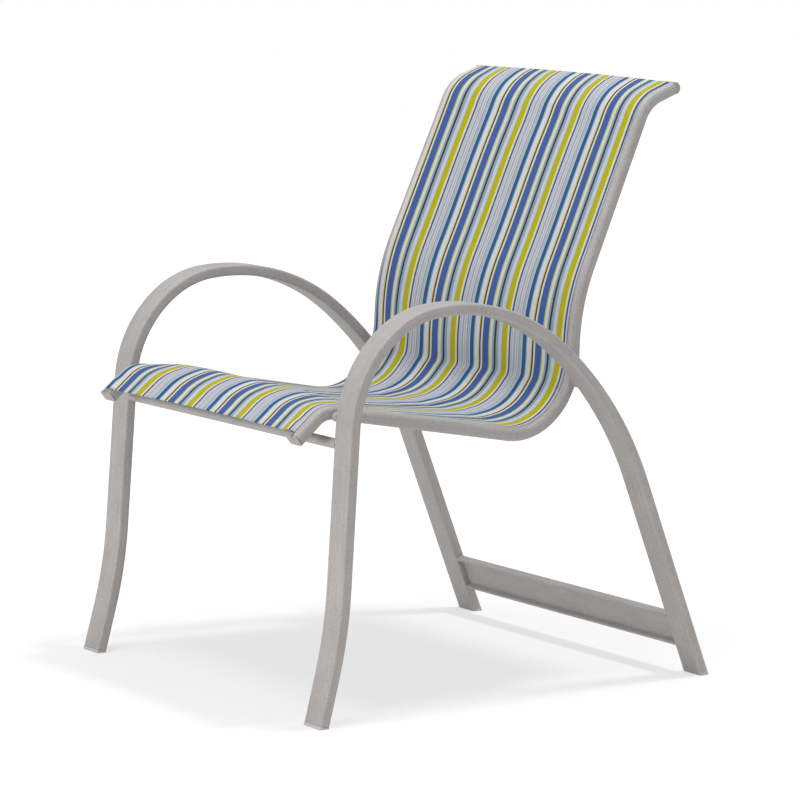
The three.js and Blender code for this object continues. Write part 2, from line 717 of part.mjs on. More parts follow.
// A spreader bar: an arc of tube from rail to rail, bowed away from the sitter
function spreaderBar(s) {
  const station = stationAt(RAIL, s);
  const place = beside(station, -BAR_SET);
  const reach = RAIL_INNER_X - 2 * TOUCH_GAP - BAR_PLUG_FLANGE;
  const radius = (reach ** 2 + BAR_BOW ** 2) / (2 * BAR_BOW);
  const half = Math.asin(reach / radius);
  const away = new THREE.Vector3(0, Math.sin(station.heading), -Math.cos(station.heading));
  const steps = chordCount(radius, (2 * half) / DEG);
  const points = [];
  for (let i = 0; i <= steps; i++) {
    const angle = -half + (2 * half * i) / steps;
    const drop = radius * (Math.cos(angle) - Math.cos(half));
    points.push({
      place: new THREE.Vector3(radius * Math.sin(angle), place.y, place.z).addScaledVector(away, drop),
      tangent: new THREE.Vector3(Math.cos(angle), 0, 0).addScaledVector(away, -Math.sin(angle)),
    });
  }
  // Both ends are cut square to the rails, flush with the plug's flange
  points[0].tangent.set(1, 0, 0);
  points[steps].tangent.set(1, 0, 0);
  const section = shapeOf(
    circle(0, 0, BAR_RADIUS, BOLT_SEGMENTS),
    [circle(0, 0, BAR_RADIUS - BAR_WALL, BOLT_SEGMENTS)],
  );
  const bar = new THREE.ExtrudeGeometry(section, { steps, extrudePath: new StationCurve(points) });
  return splayAcross(bar, reach);
}

// A plug in each end of a bar: a short stub in the bar, a flange and a peg into the rail's inner wall
function spreaderPlug(s) {
  const place = beside(stationAt(RAIL, s), -BAR_SET);
  const seat = RAIL_INNER_X - TOUCH_GAP;
  return join([
    roundBarAlongX(place, BAR_RADIUS, seat - BAR_PLUG_FLANGE, seat, BOLT_SEGMENTS),
    roundBarAlongX(place, BAR_PEG_RADIUS, seat - BAR_PLUG_LENGTH, seat + BAR_PEG_LENGTH, BOLT_SEGMENTS),
  ]);
}

// Fasteners, each on its own line along X through rail, spacer and side frame

const NUT_SEAT_X = FRAME_INNER_X - TOUCH_GAP;
const BOLT_END_X = NUT_SEAT_X - NUT_FLANGE + NUT_LENGTH + BOLT_TIP;

function railBolt(place) {
  const head = RAIL_INNER_X - TOUCH_GAP;
  const profile = [
    [0, head - BOLT_HEAD_HEIGHT],
    [BOLT_CROWN_RADIUS, head - BOLT_HEAD_HEIGHT],
    [BOLT_HEAD_RADIUS, head - BOLT_RIM_HEIGHT],
    [BOLT_HEAD_RADIUS, head],
    [BOLT_RADIUS, head],
    [BOLT_RADIUS, BOLT_END_X],
    [0, BOLT_END_X],
  ].map(([x, y]) => new THREE.Vector2(x, y));
  const body = new THREE.LatheGeometry(profile, BOLT_SEGMENTS).rotateZ(-90 * DEG);
  const socketRadius = BOLT_SOCKET_FLATS / 2 / Math.cos(30 * DEG);
  const socket = extrudeAlongX(shapeOf(circle(0, 0, socketRadius, HEX_SIDES)),
    head - BOLT_HEAD_HEIGHT - CUT_OVERRUN, head - BOLT_HEAD_HEIGHT + BOLT_SOCKET_DEPTH);
  return cut(body, [socket]).translate(0, place.y, place.z);
}

function rivetNut(place) {
  const bore = BOLT_RADIUS + HOLE_CLEARANCE;
  const [start, end] = [NUT_SEAT_X - NUT_FLANGE, NUT_SEAT_X - NUT_FLANGE + NUT_LENGTH];
  const profile = [
    [bore, start],
    [NUT_FLANGE_RADIUS, start],
    [NUT_FLANGE_RADIUS, NUT_SEAT_X],
    [NUT_BODY_RADIUS, NUT_SEAT_X],
    [NUT_BODY_RADIUS, end],
    [bore, end],
    [bore, start],
  ].map(([x, y]) => new THREE.Vector2(x, y));
  const nut = new THREE.LatheGeometry(profile, BOLT_SEGMENTS).rotateZ(-90 * DEG);
  return nut.translate(0, place.y, place.z);
}

function railSpacer(place) {
  const x0 = RAIL_OUTER_X + TOUCH_GAP;
  const x1 = NUT_SEAT_X - NUT_FLANGE - TOUCH_GAP;
  return tubeAlongX(place, SPACER_RADIUS, BOLT_RADIUS + HOLE_CLEARANCE, x0, x1, ROUND_SEGMENTS);
}

// Foot glides: a plug in the tube's end and a sole that is flat on the floor

function footGlide(end, inward) {
  const wall = GLIDE_PLUG_CLEARANCE + FRAME_TUBE_WALL;
  const plugShape = shapeOf(roundedRectangle(
    FRAME_TUBE_WIDTH - 2 * wall, FRAME_TUBE_DEPTH - 2 * wall, FRAME_TUBE_CORNER - FRAME_TUBE_WALL, 1));
  const plugPath = straightFrom(end, inward * GLIDE_PLUG_LENGTH, -inward * (TOUCH_GAP + GLIDE_SOLE / 2));
  const plug = sweep(plugShape, plugPath, FRAME_CENTRE_X);
  const foot = straightFrom(end, -inward * TOUCH_GAP, -inward * TOUCH_GAP)[0];
  const half = FRAME_TUBE_DEPTH / 2 - GLIDE_EDGE_INSET;
  const [a, b] = [beside(foot, half), beside(foot, -half)];
  const down = (p) => ({ y: p.y - (p.z / Math.tan(foot.heading)), z: 0 });
  const outline = [a, b, down(b), down(a)].map((p) => new THREE.Vector2(p.y, p.z));
  const reach = FRAME_TUBE_WIDTH / 2 - GLIDE_EDGE_INSET;
  const sole = extrudeAlongX(shapeOf(outline), FRAME_CENTRE_X - reach, FRAME_CENTRE_X + reach);
  return join([sole, plug]);
}

for (const [side, sign] of SIDES) {
  const add = (name, geometry, look) => addPiece(`${name}_${side}`, onSide(splay(geometry), sign), look);
  add("side_frame", sideFrame(), coat);
  add("sling_rail", slingRail(), coat);
  add("rail_front_cap", railFrontCap(), greyPlastic);
  add("rail_top_cap", railTopCap(), greyPlastic);
  add("spline_rod", splineRod(), greyPlastic);
  for (const [end, place] of Object.entries(BOLTS)) {
    add(`${end}_spacer`, railSpacer(place), coat);
    add(`${end}_bolt`, railBolt(place), steel);
    add(`${end}_rivet_nut`, rivetNut(place), steel);
  }
  add("seat_bar_plug", spreaderPlug(SEAT_BAR_S), greyPlastic);
  add("back_bar_plug", spreaderPlug(BACK_BAR_S), greyPlastic);
  add("front_glide", footGlide(FRAME[0], 1), nylon);
  add("rear_glide", footGlide(FRAME[FRAME.length - 1], -1), nylon);
}
addPiece("sling_fabric", splay(sling()), slingLook);
addPiece("front_cross_tube", frontCrossTube(), coat);
addPiece("rear_stretcher", rearStretcher(), coat);
addPiece("seat_spreader_bar", spreaderBar(SEAT_BAR_S), coat);
addPiece("back_spreader_bar", spreaderBar(BACK_BAR_S), coat);

export default chair;
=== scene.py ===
# %% [markdown]
# # A sling patio chair
# The chair is two bent side frames of flat tube, two curved rails with a keyhole slot, and one
# striped sheet that is stretched between the rails. The measured model fixes every place and size.
# This lesson dresses it: each piece gets rounded edges, real cloth and real coating.

# %% Load the measured chair
import math

import bmesh
import bpy
import numpy as np
from mathutils import Matrix, Vector


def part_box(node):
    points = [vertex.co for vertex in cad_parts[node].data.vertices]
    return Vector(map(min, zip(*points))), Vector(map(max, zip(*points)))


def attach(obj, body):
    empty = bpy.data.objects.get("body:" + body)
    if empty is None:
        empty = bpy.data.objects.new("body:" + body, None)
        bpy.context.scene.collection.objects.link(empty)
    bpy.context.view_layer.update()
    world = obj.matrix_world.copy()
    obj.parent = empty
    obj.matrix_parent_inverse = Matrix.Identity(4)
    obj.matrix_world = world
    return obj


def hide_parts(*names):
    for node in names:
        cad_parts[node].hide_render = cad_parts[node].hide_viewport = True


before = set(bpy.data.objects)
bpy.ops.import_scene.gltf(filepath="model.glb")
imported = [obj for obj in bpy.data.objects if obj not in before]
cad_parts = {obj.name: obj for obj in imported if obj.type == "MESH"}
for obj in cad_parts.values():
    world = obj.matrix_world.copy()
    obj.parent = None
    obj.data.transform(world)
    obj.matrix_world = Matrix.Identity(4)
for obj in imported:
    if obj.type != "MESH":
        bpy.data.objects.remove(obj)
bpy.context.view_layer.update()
bpy.context.scene.view_settings.view_transform = "Standard"

# %% [markdown]
# ## Camera
# The picture was taken from a little above seat height, from the chair's left front. A long lens
# far away keeps the legs nearly parallel, as in a catalogue picture. The camera's three axes are
# worked out from its azimuth, elevation and roll, because a matrix is plainer than three angles.

# %% Camera
MM = 0.001
AIM = Vector((0, -0.0046, 0.4116))
CAMERA_DISTANCE = 5.3624
CAMERA_AZIMUTH = math.radians(52.4348)
CAMERA_ELEVATION = math.radians(7.7996)
CAMERA_ROLL = math.radians(2.0259)
CAMERA_LENS = 157.4775


def camera_axes(azimuth, elevation, roll):
    back = Vector((math.sin(azimuth) * math.cos(elevation),
                   -math.cos(azimuth) * math.cos(elevation), math.sin(elevation)))
    right = Vector((math.cos(azimuth), math.sin(azimuth), 0))
    up = back.cross(right)
    return (right * math.cos(roll) + up * math.sin(roll),
            up * math.cos(roll) - right * math.sin(roll), back)


def add_object(name, data):
    made = bpy.data.objects.new(name, data)
    bpy.context.scene.collection.objects.link(made)
    return made


side_axis, up_axis, back_axis = camera_axes(CAMERA_AZIMUTH, CAMERA_ELEVATION, CAMERA_ROLL)
camera_data = bpy.data.cameras.new("camera")
camera_data.lens = CAMERA_LENS
camera = add_object("camera", camera_data)
turn = Matrix((side_axis, up_axis, back_axis)).transposed().to_4x4()
camera.matrix_world = Matrix.Translation(AIM + back_axis * CAMERA_DISTANCE) @ turn
bpy.context.scene.camera = camera
print("camera at", [round(value, 3) for value in camera.matrix_world.translation])

# %% [markdown]
# ## Helpers for node trees
# Finishes and shapes are both made of nodes. One helper gives each named input of a node a link or
# a value, and another adds a node with its options and inputs. Colours are written as they look on
# a screen, from 0 to 255, and turned into the linear values that a renderer adds up.

# %% Node helpers
COLOUR, NUMBER, VECTOR = "NodeSocketColor", "NodeSocketFloat", "NodeSocketVector"
BUMP_DISTANCE = 0.0004  # metres between the lowest and the highest place of a bump


def fill(tree, node, values):
    for key, value in values.items():
        if isinstance(value, bpy.types.NodeSocket):
            tree.links.new(value, node.inputs[key])
        else:
            node.inputs[key].default_value = value


def add_node(tree, kind, values=None, **options):
    made = tree.nodes.new(kind)
    for key, value in options.items():
        setattr(made, key, value)
    fill(tree, made, values or {})
    return made


def shade(red, green, blue):
    linear = [c / 12.92 if c <= 0.04045 else ((c + 0.055) / 1.055) ** 2.4
              for c in (red / 255, green / 255, blue / 255)]
    return (*linear, 1)


def calculate(tree, operation, first, second=0.0):
    return add_node(tree, "ShaderNodeMath", {0: first, 1: second}, operation=operation).outputs[0]


def mix_colour(tree, factor, first, second):
    values = {0: factor, 6: first, 7: second}
    return add_node(tree, "ShaderNodeMix", values, data_type="RGBA").outputs[2]


def map_range(tree, value, low, high, to_low, to_high):
    values = {0: value, 1: low, 2: high, 3: to_low, 4: to_high}
    return add_node(tree, "ShaderNodeMapRange", values).outputs[0]


def noise(tree, place, scale, detail=2.0):
    values = {"Vector": place, "Scale": scale, "Detail": detail}
    return add_node(tree, "ShaderNodeTexNoise", values).outputs[0]


def multiply_vector(tree, first, second):
    values = {0: first, 1: second}
    return add_node(tree, "ShaderNodeVectorMath", values, operation="MULTIPLY").outputs[0]


def new_group(name, inputs, outputs):
    group = bpy.data.node_groups.new(name, "ShaderNodeTree")
    for label, kind, default in inputs:
        socket = group.interface.new_socket(label, in_out="INPUT", socket_type=kind)
        if default is not None:
            socket.default_value = default
    for label, kind in outputs:
        group.interface.new_socket(label, in_out="OUTPUT", socket_type=kind)
    given, result = add_node(group, "NodeGroupInput"), add_node(group, "NodeGroupOutput")
    return group, given.outputs, result


def new_material(name):
    material = bpy.data.materials.new(name)
    material.use_nodes = True
    tree = material.node_tree
    return material, tree, tree.nodes["Principled BSDF"]


def bump(tree, strength, height):
    values = {"Strength": strength, "Distance": BUMP_DISTANCE, "Height": height}
    return add_node(tree, "ShaderNodeBump", values).outputs[0]


print("kinds of socket:", COLOUR, NUMBER, VECTOR)

# %% [markdown]
# ## Light, floor and background
# The picture has a white studio. Tops are brightest, fronts a little darker, and the sides that
# face the camera darker still. The stretcher's shadow lies straight under it, so one small lamp
# hangs overhead. A larger key lamp is high in front, and a weak low one reaches under the seat. A
# pale sky lights everything evenly. Rays from the camera see plain white, so the background is
# white without more light on the chair. The floor also adds some white of its own, for the camera
# alone: a share near the chair, where its shadow has to stay, and all of it further out.

# %% Sky
WHITE = (1, 1, 1, 1)
SKY_LEVEL = 0.51

world = bpy.data.worlds.new("studio")
world.use_nodes = True
bpy.context.scene.world = world
sky = world.node_tree
sky.nodes.clear()
seen = add_node(sky, "ShaderNodeLightPath").outputs
bright = calculate(sky, "MAXIMUM", seen["Is Camera Ray"], seen["Is Transmission Ray"])
plain, white = [add_node(sky, "ShaderNodeBackground", {"Color": WHITE, "Strength": level})
                for level in (SKY_LEVEL, 1.0)]
either = add_node(sky, "ShaderNodeMixShader", {0: bright, 1: plain.outputs[0], 2: white.outputs[0]})
add_node(sky, "ShaderNodeOutputWorld", {"Surface": either.outputs[0]})
print("sky level", SKY_LEVEL)

# %% Lamps
# name: place, diameter in metres, power in watts
LAMPS = {"key": (Vector((0.5, -1.6, 4.4)), 1.4, 42),
         "top": (Vector((0.4, 0.75, 4.75)), 0.6, 76),
         "fill": (Vector((0.2, -3.4, 0.42)), 0.8, 22)}

for name, (place, size, power) in LAMPS.items():
    data = bpy.data.lights.new(name, "AREA")
    data.shape, data.size, data.energy = "DISK", size, power
    towards = (AIM - place).to_track_quat("-Z", "Y").to_matrix().to_4x4()
    add_object(name, data).matrix_world = Matrix.Translation(place) @ towards
print("lamps:", {name: lamp[2] for name, lamp in LAMPS.items()})

# %% Floor
FLOOR_HALF = 12
FLOOR_GLOW = 1.12  # the floor's own white
FLOOR_LIFT = 0.52  # share of that white near the chair
LIFT_START, LIFT_END = 0.45, 1.2  # metres from the middle, between which the share grows to 1


def floor_material():
    material, tree, shader = new_material("floor_white")
    place = add_node(tree, "ShaderNodeTexCoord").outputs["Object"]
    grain = noise(tree, place, 3.0, 3.0)
    tone = mix_colour(tree, grain, shade(247, 247, 247), shade(250, 250, 250))
    fill(tree, shader, {"Base Color": tone, "Roughness": 0.75, "Specular IOR Level": 0.2})
    reach = add_node(tree, "ShaderNodeVectorMath", {0: place}, operation="LENGTH").outputs["Value"]
    lift = map_range(tree, reach, LIFT_START, LIFT_END, FLOOR_LIFT, 1.0)
    seen = add_node(tree, "ShaderNodeLightPath").outputs["Is Camera Ray"]
    glow = add_node(tree, "ShaderNodeEmission", {"Color": WHITE, "Strength": FLOOR_GLOW})
    share = calculate(tree, "MULTIPLY", lift, seen)
    both = add_node(tree, "ShaderNodeMixShader",
                    {0: share, 1: shader.outputs[0], 2: glow.outputs[0]})
    fill(tree, tree.nodes["Material Output"], {"Surface": both.outputs[0]})
    return material


floor_mesh = bpy.data.meshes.new("floor")
corners = [(x * FLOOR_HALF, y * FLOOR_HALF, 0) for x, y in [(-1, -1), (1, -1), (1, 1), (-1, 1)]]
floor_mesh.from_pydata(corners, [], [(0, 1, 2, 3)])
floor_mesh.materials.append(floor_material())
floor = add_object("floor", floor_mesh)
print("floor", 2 * FLOOR_HALF, "m wide")

# %% [markdown]
# ## The coating
# The metal is aluminium under a warm grey powder coat. Close up, such a coat is finely mottled and
# slightly bumpy like orange peel, and on drawn tube it shows faint lines along the tube. The mottle
# is noise on the object's own coordinates. The lines need to bend with the tube, so they read an
# attribute that the swept pieces carry: the place in the section and the distance along the path.

# %% Powder coat group
FINE_SCALE, PATCH_SCALE, PEEL_SCALE = 380.0, 22.0, 900.0  # spots in a metre
COAT_ROUGHNESS = (0.50, 0.66)


def build_mottle_group():
    group, given, result = new_group(
        "mottled_coat",
        [("Place", VECTOR, None), ("Colour", COLOUR, (0.4, 0.4, 0.4, 1)), ("Mottle", NUMBER, 0.1),
         ("Patch", NUMBER, 0.06), ("Line", VECTOR, None), ("Line strength", NUMBER, 0.0)],
        [("Colour", COLOUR), ("Roughness", NUMBER), ("Height", NUMBER)])
    place = given["Place"]
    fine = noise(group, place, FINE_SCALE, 3.0)
    patch = noise(group, place, PATCH_SCALE)
    peel = noise(group, place, PEEL_SCALE)
    line = noise(group, given["Line"], 1.0)

    def swing(spots, strength):
        return calculate(group, "MULTIPLY", calculate(group, "SUBTRACT", spots, 0.5), strength)

    parts = [swing(fine, given["Mottle"]), swing(patch, given["Patch"]),
             swing(line, given["Line strength"])]
    total = calculate(group, "ADD", calculate(group, "ADD", parts[0], parts[1]), parts[2])
    level = calculate(group, "ADD", total, 1.0)
    height = calculate(group, "ADD", calculate(group, "MULTIPLY", peel, 0.5),
                       calculate(group, "MULTIPLY", line, 0.6))
    fill(group, result, {"Colour": multiply_vector(group, given["Colour"], level),
                         "Roughness": map_range(group, fine, 0.3, 0.7, *COAT_ROUGHNESS),
                         "Height": height})
    return group


mottle_group = build_mottle_group()
print("group", mottle_group.name)

# %% Coated, plastic and nylon materials
LINE_SCALE = (420, 420, 9)  # spots in a metre of the section, and along the tube


def use_mottle(name, colour, mottle, patch, line_strength, bumps, roughness=None):
    material, tree, shader = new_material(name)
    place = add_node(tree, "ShaderNodeTexCoord").outputs["Object"]
    across = add_node(tree, "ShaderNodeAttribute", attribute_name="section_place").outputs["Vector"]
    along = add_node(tree, "ShaderNodeAttribute", attribute_name="path_length").outputs["Fac"]
    parts = add_node(tree, "ShaderNodeSeparateXYZ", {0: across}).outputs
    line = add_node(tree, "ShaderNodeCombineXYZ", {0: parts[0], 1: parts[1], 2: along})
    coat = add_node(tree, "ShaderNodeGroup",
                    {"Place": place, "Line": multiply_vector(tree, line.outputs[0], LINE_SCALE),
                     "Colour": colour, "Mottle": mottle, "Patch": patch,
                     "Line strength": line_strength}, node_tree=mottle_group).outputs
    fill(tree, shader, {"Base Color": coat["Colour"], "Roughness": roughness or coat["Roughness"],
                        "Normal": bump(tree, bumps, coat["Height"])})
    return material


# name and colour, then the strengths of mottle, patches, lines and bumps, then a fixed roughness
tube_coat = use_mottle("tube_coat", shade(176, 172, 169), 0.6, 0.22, 0.3, 0.5)
part_coat = use_mottle("part_coat", shade(174, 170, 167), 0.6, 0.22, 0.0, 0.5)
cap_plastic = use_mottle("cap_plastic", shade(170, 166, 162), 0.2, 0.1, 0.0, 0.25)
pocket_rod = use_mottle("pocket_rod", shade(96, 94, 92), 0.08, 0.04, 0.0, 0.2)
glide_nylon = use_mottle("glide_nylon", shade(198, 197, 193), 0.04, 0.04, 0.0, 0.2, 0.42)
print("materials:", len(bpy.data.materials))

# %% Screw steel
SCRATCH_SCALE = (120, 900, 900)  # spots in a metre; fewer along the screw, so they are drawn out


def steel_material():
    material, tree, shader = new_material("screw_steel")
    place = add_node(tree, "ShaderNodeTexCoord").outputs["Object"]
    stretched = add_node(tree, "ShaderNodeMapping", {"Vector": place, "Scale": SCRATCH_SCALE})
    scratch = noise(tree, stretched.outputs[0], 1.0)
    tone = mix_colour(tree, scratch, shade(178, 180, 182), shade(205, 206, 207))
    fill(tree, shader, {"Base Color": tone, "Metallic": 1.0,
                        "Roughness": map_range(tree, scratch, 0.3, 0.7, 0.28, 0.45)})
    return material


screw_steel = steel_material()
print("made", screw_steel.name)

# %% [markdown]
# ## Bent paths
# A tube bender works with straight lengths and bends of a fixed radius, so the side frame and the
# rail are written down in the same way. Each path lies in the chair's side view. Walking along it
# gives stations: a place, a heading, and the distance walked. Short chords of two degrees make the
# bends round.

# %% Bent paths
# one number is a straight length in mm, two are a bend's radius in mm and its turn in degrees
FRAME_PIECES = [(68,), (644, 11.5), (227,), (173, -53.4), (150, -26.4), (327, -43.9), (541, -29.9)]
RAIL_PIECES = [(40.1,), (39.2, -49.6), (327.5,), (108.5, 98.6), (23.2,), (296.7, -22.5),
               (242.8,), (58.7, -45.8), (33.4,)]
RAIL_START = (-377.3, 407.5, 40.6)  # y, z and heading in degrees
FOOT_Y, FOOT_DEGREES = -358.6, 76.5
CHORD_DEGREES, STRAIGHT_STEP = 2, 12  # the most between two stations
FRAME_DEPTH, GLIDE_SOLE = 17, 1.6


def bent_path(y, z, degrees, pieces):
    heading, along = math.radians(degrees), 0.0
    stations = [(y, z, heading, along)]
    for size, *turn in pieces:
        steps, step = math.ceil(size / STRAIGHT_STEP), 0.0
        walked = chord = size / steps
        if turn:
            steps = math.ceil(abs(turn[0]) / CHORD_DEGREES)
            step = math.radians(turn[0]) / steps
            walked, chord = size * abs(step), 2 * size * math.sin(abs(step) / 2)
        for _ in range(steps):
            heading += step / 2
            y += chord * math.cos(heading)
            z += chord * math.sin(heading)
            heading += step / 2
            along += walked
            stations.append((y, z, heading, along))
    return np.array(stations)


def foot_height(heading):
    return GLIDE_SOLE + FRAME_DEPTH / 2 * math.cos(heading)


front_foot = (FOOT_Y, foot_height(math.radians(FOOT_DEGREES)), FOOT_DEGREES)
_, z, heading, _ = bent_path(*front_foot, FRAME_PIECES)[-1]
rear_leg = (z - foot_height(heading)) / math.sin(-heading)  # straight down to its glide
frame_path = bent_path(*front_foot, [*FRAME_PIECES, (rear_leg,)])
rail_path = bent_path(*RAIL_START, RAIL_PIECES)
RAIL_LENGTH = rail_path[-1, 3]
print("frame", round(frame_path[-1, 3]), "mm of tube, rail", round(RAIL_LENGTH), "mm")

# %% [markdown]
# ## Splay
# The two sides aren't parallel: they open towards the front and towards the floor, by about one
# degree each. Everything on a side is made upright first and then leaned over by moving it outwards
# in proportion to where it is. That keeps the sections true and the sums simple. A piece that
# crosses the chair is stretched instead: its middle stays and its ends move with the sides.

# %% Splay
SPLAY_Y, SPLAY_Z = -4.6, 325  # where a side isn't moved
TOE, LEAN = math.tan(math.radians(0.92)), math.tan(math.radians(0.56))


def splay_at(y, z):
    return (SPLAY_Y - y) * TOE + (SPLAY_Z - z) * LEAN


def read_points(mesh):
    points = np.empty(len(mesh.vertices) * 3)
    mesh.vertices.foreach_get("co", points)
    return points.reshape(-1, 3)


def write_points(mesh, points):
    mesh.vertices.foreach_set("co", points.astype(np.float32).ravel())
    mesh.update()


# reach is half the length of a piece that crosses the chair
def splay(mesh, reach=None):
    points = read_points(mesh)
    x, y, z = points.T / MM
    share = np.sign(x) if reach is None else x / reach
    points[:, 0] += share * splay_at(y, z) * MM
    write_points(mesh, points)


print("splay at the front feet", round(splay_at(FOOT_Y, 0), 1), "mm")

# %% [markdown]
# ## Sweeping a section along a path
# A bent tube is one outline carried along one line, which is what Curve to Mesh does. The tree
# takes the path as its own geometry and the section as an object. Before the sweep it writes each
# section point's place and each path point's distance into attributes, and the sweep hands both on
# to the mesh. The coating's lines use them. A fixed side direction keeps the section from twisting.

# %% Sweep tree


def build_sweep_tree():
    tree = bpy.data.node_groups.new("sweep_section", "GeometryNodeTree")
    for label, kind in (("Path", "Geometry"), ("Section", "Object"), ("Section side", "Vector"),
                        ("Coat", "Material")):
        tree.interface.new_socket(label, in_out="INPUT", socket_type="NodeSocket" + kind)
    tree.interface.new_socket("Tube", in_out="OUTPUT", socket_type="NodeSocketGeometry")
    given = add_node(tree, "NodeGroupInput").outputs
    outline = add_node(tree, "GeometryNodeObjectInfo", {"Object": given["Section"]})
    marked = add_node(tree, "GeometryNodeStoreNamedAttribute",
                      {"Geometry": outline.outputs["Geometry"], "Name": "section_place",
                       "Value": add_node(tree, "GeometryNodeInputPosition").outputs[0]},
                      data_type="FLOAT_VECTOR")
    length = add_node(tree, "GeometryNodeSplineParameter").outputs["Length"]
    measured = add_node(tree, "GeometryNodeStoreNamedAttribute",
                        {"Geometry": given["Path"], "Name": "path_length", "Value": length},
                        data_type="FLOAT")
    steady = add_node(tree, "GeometryNodeSetCurveNormal",
                      {"Curve": measured.outputs[0], "Normal": given["Section side"]},
                      mode="FREE")
    swept = add_node(tree, "GeometryNodeCurveToMesh",
                     {"Curve": steady.outputs[0], "Profile Curve": marked.outputs[0]})
    smooth = add_node(tree, "GeometryNodeSetShadeSmooth", {"Geometry": swept.outputs[0]})
    real = add_node(tree, "GeometryNodeRealizeInstances", {"Geometry": smooth.outputs[0]})
    coated = add_node(tree, "GeometryNodeSetMaterial",
                      {"Geometry": real.outputs[0], "Material": given["Coat"]})
    add_node(tree, "NodeGroupOutput", {"Tube": coated.outputs[0]})
    return tree


sweep_tree = build_sweep_tree()
print("tree inputs:", [item.name for item in sweep_tree.interface.items_tree])

# %% [markdown]
# ## Using the tree
# A modifier's inputs are set by their identifiers, before Blender first evaluates the object. The
# evaluated result becomes a plain mesh. Curve to Mesh leaves the ends of a hollow section open, so
# the two rims at each end are bridged with a ring of faces, and a single rim is filled.

# %% Paths, sections and sweeps


def polyline(name, lines, cyclic):
    curve = bpy.data.curves.new(name, "CURVE")
    curve.dimensions = "3D"
    for points in lines:
        spline = curve.splines.new("POLY")
        spline.points.add(len(points) - 1)
        for point, place in zip(spline.points, points):
            point.co = (*[float(value) for value in place], 1)
        spline.use_cyclic_u = cyclic
    return add_object(name, curve)


def section(name, *outlines):
    return polyline(name, [[(x * MM, y * MM, 0) for x, y in outline] for outline in outlines], True)


def sweep(name, outline, points, side, coat):
    path = polyline(name + "_path", [points], False)
    modifier = path.modifiers.new("sweep", "NODES")
    modifier.node_group = sweep_tree
    inputs = {"Section": outline, "Section side": side, "Coat": coat}
    for item in sweep_tree.interface.items_tree:
        if item.name in inputs:
            modifier[item.identifier] = inputs[item.name]
    bpy.context.view_layer.update()
    seen = path.evaluated_get(bpy.context.evaluated_depsgraph_get())
    mesh = bpy.data.meshes.new_from_object(seen)
    mesh.name = name
    bpy.data.objects.remove(path)
    close_ends(mesh)
    return mesh


# %% Closing the ends
SHARP_DEGREES = 38
MERGE = 1e-6  # metres between points that are one
SAME_END = 0.012  # metres between the middles of two rims of one end


def rims_of(bm):
    bm.edges.index_update()
    open_edges = {edge.index: edge for edge in bm.edges if edge.is_boundary}
    rims = []
    while open_edges:
        rim, front = [], [open_edges.popitem()[1]]
        while front:
            edge = front.pop()
            rim.append(edge)
            linked = [e.index for v in edge.verts for e in v.link_edges if e.index in open_edges]
            front += [open_edges.pop(index) for index in linked]
        rims.append(rim)
    return rims


def merged_copy(mesh):
    bm = bmesh.new()
    bm.from_mesh(mesh)
    bmesh.ops.remove_doubles(bm, verts=bm.verts, dist=MERGE)
    return bm


def close_ends(mesh):
    bm = merged_copy(mesh)
    ends = {}
    for rim in rims_of(bm):
        middle = sum((e.verts[0].co + e.verts[1].co for e in rim), Vector()) / (2 * len(rim))
        key = next((k for k in ends if (Vector(k) - middle).length < SAME_END), tuple(middle))
        ends.setdefault(key, []).append(rim)
    for rims in ends.values():
        edges = [edge for rim in rims for edge in rim]
        if len(rims) == 2:
            bmesh.ops.bridge_loops(bm, edges=edges)
        else:
            bmesh.ops.triangle_fill(bm, edges=edges, use_beauty=True)
    finish_faces(bm, mesh)


def finish_faces(bm, mesh):
    bmesh.ops.recalc_face_normals(bm, faces=bm.faces)
    for face in bm.faces:
        face.smooth = True
    bm.to_mesh(mesh)
    bm.free()
    mesh.set_sharp_from_angle(angle=math.radians(SHARP_DEGREES))


# %% Outlines


def arc(x, y, radius, start, end, cuts):
    angles = [math.radians(start + (end - start) * k / cuts) for k in range(cuts + 1)]
    return [(x + radius * math.cos(angle), y + radius * math.sin(angle)) for angle in angles]


def rounded_rectangle(width, height, corner, cuts=6):
    w, h = width / 2 - corner, height / 2 - corner
    return [*arc(w, h, corner, 0, 90, cuts), *arc(-w, h, corner, 90, 180, cuts),
            *arc(-w, -h, corner, 180, 270, cuts), *arc(w, -h, corner, 270, 360, cuts)]


def circle(radius, sides, x=0.0, y=0.0):
    return arc(x, y, radius, 0, 360, sides)[:-1]


# %% Pieces and their mirror images


def mirrored(mesh, name):
    other = mesh.copy()
    other.name = name
    points = read_points(other)
    points[:, 0] *= -1
    write_points(other, points)
    other.flip_normals()
    return other


def one_piece(mesh, name, node):
    made = add_object(name, mesh)
    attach(made, "root")
    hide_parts(node)
    return made


def on_both_sides(mesh, base, node):
    splay(mesh)
    one_piece(mesh, f"{base}_left", f"{node}_left")
    one_piece(mirrored(mesh, f"{base}_right"), f"{base}_right", f"{node}_right")


# %% [markdown]
# ## Side frames
# Each side is one length of flat tube, 41 by 17 mm, bent into front leg, arm and rear leg. The wide
# face is the one the sitter's arm rests on. One sweep makes the left side, and its mirror image is
# the right one.

# %% Side frames
FRAME_WIDTH = 41
FRAME_WALL = 1.8
FRAME_CORNER = 3.4
FRAME_X = 284.5
TO_RIGHT = (-1, 0, 0)  # a side view's section has its first axis towards the chair's right


def sweep_sides(base, outline, path, x, coat, node):
    points = [(x * MM, y * MM, z * MM) for y, z, _, _ in path]
    mesh = sweep(f"{base}_left", outline, points, TO_RIGHT, coat)
    on_both_sides(mesh, base, node)
    print(f"{base}:", len(mesh.polygons), "faces on each side")


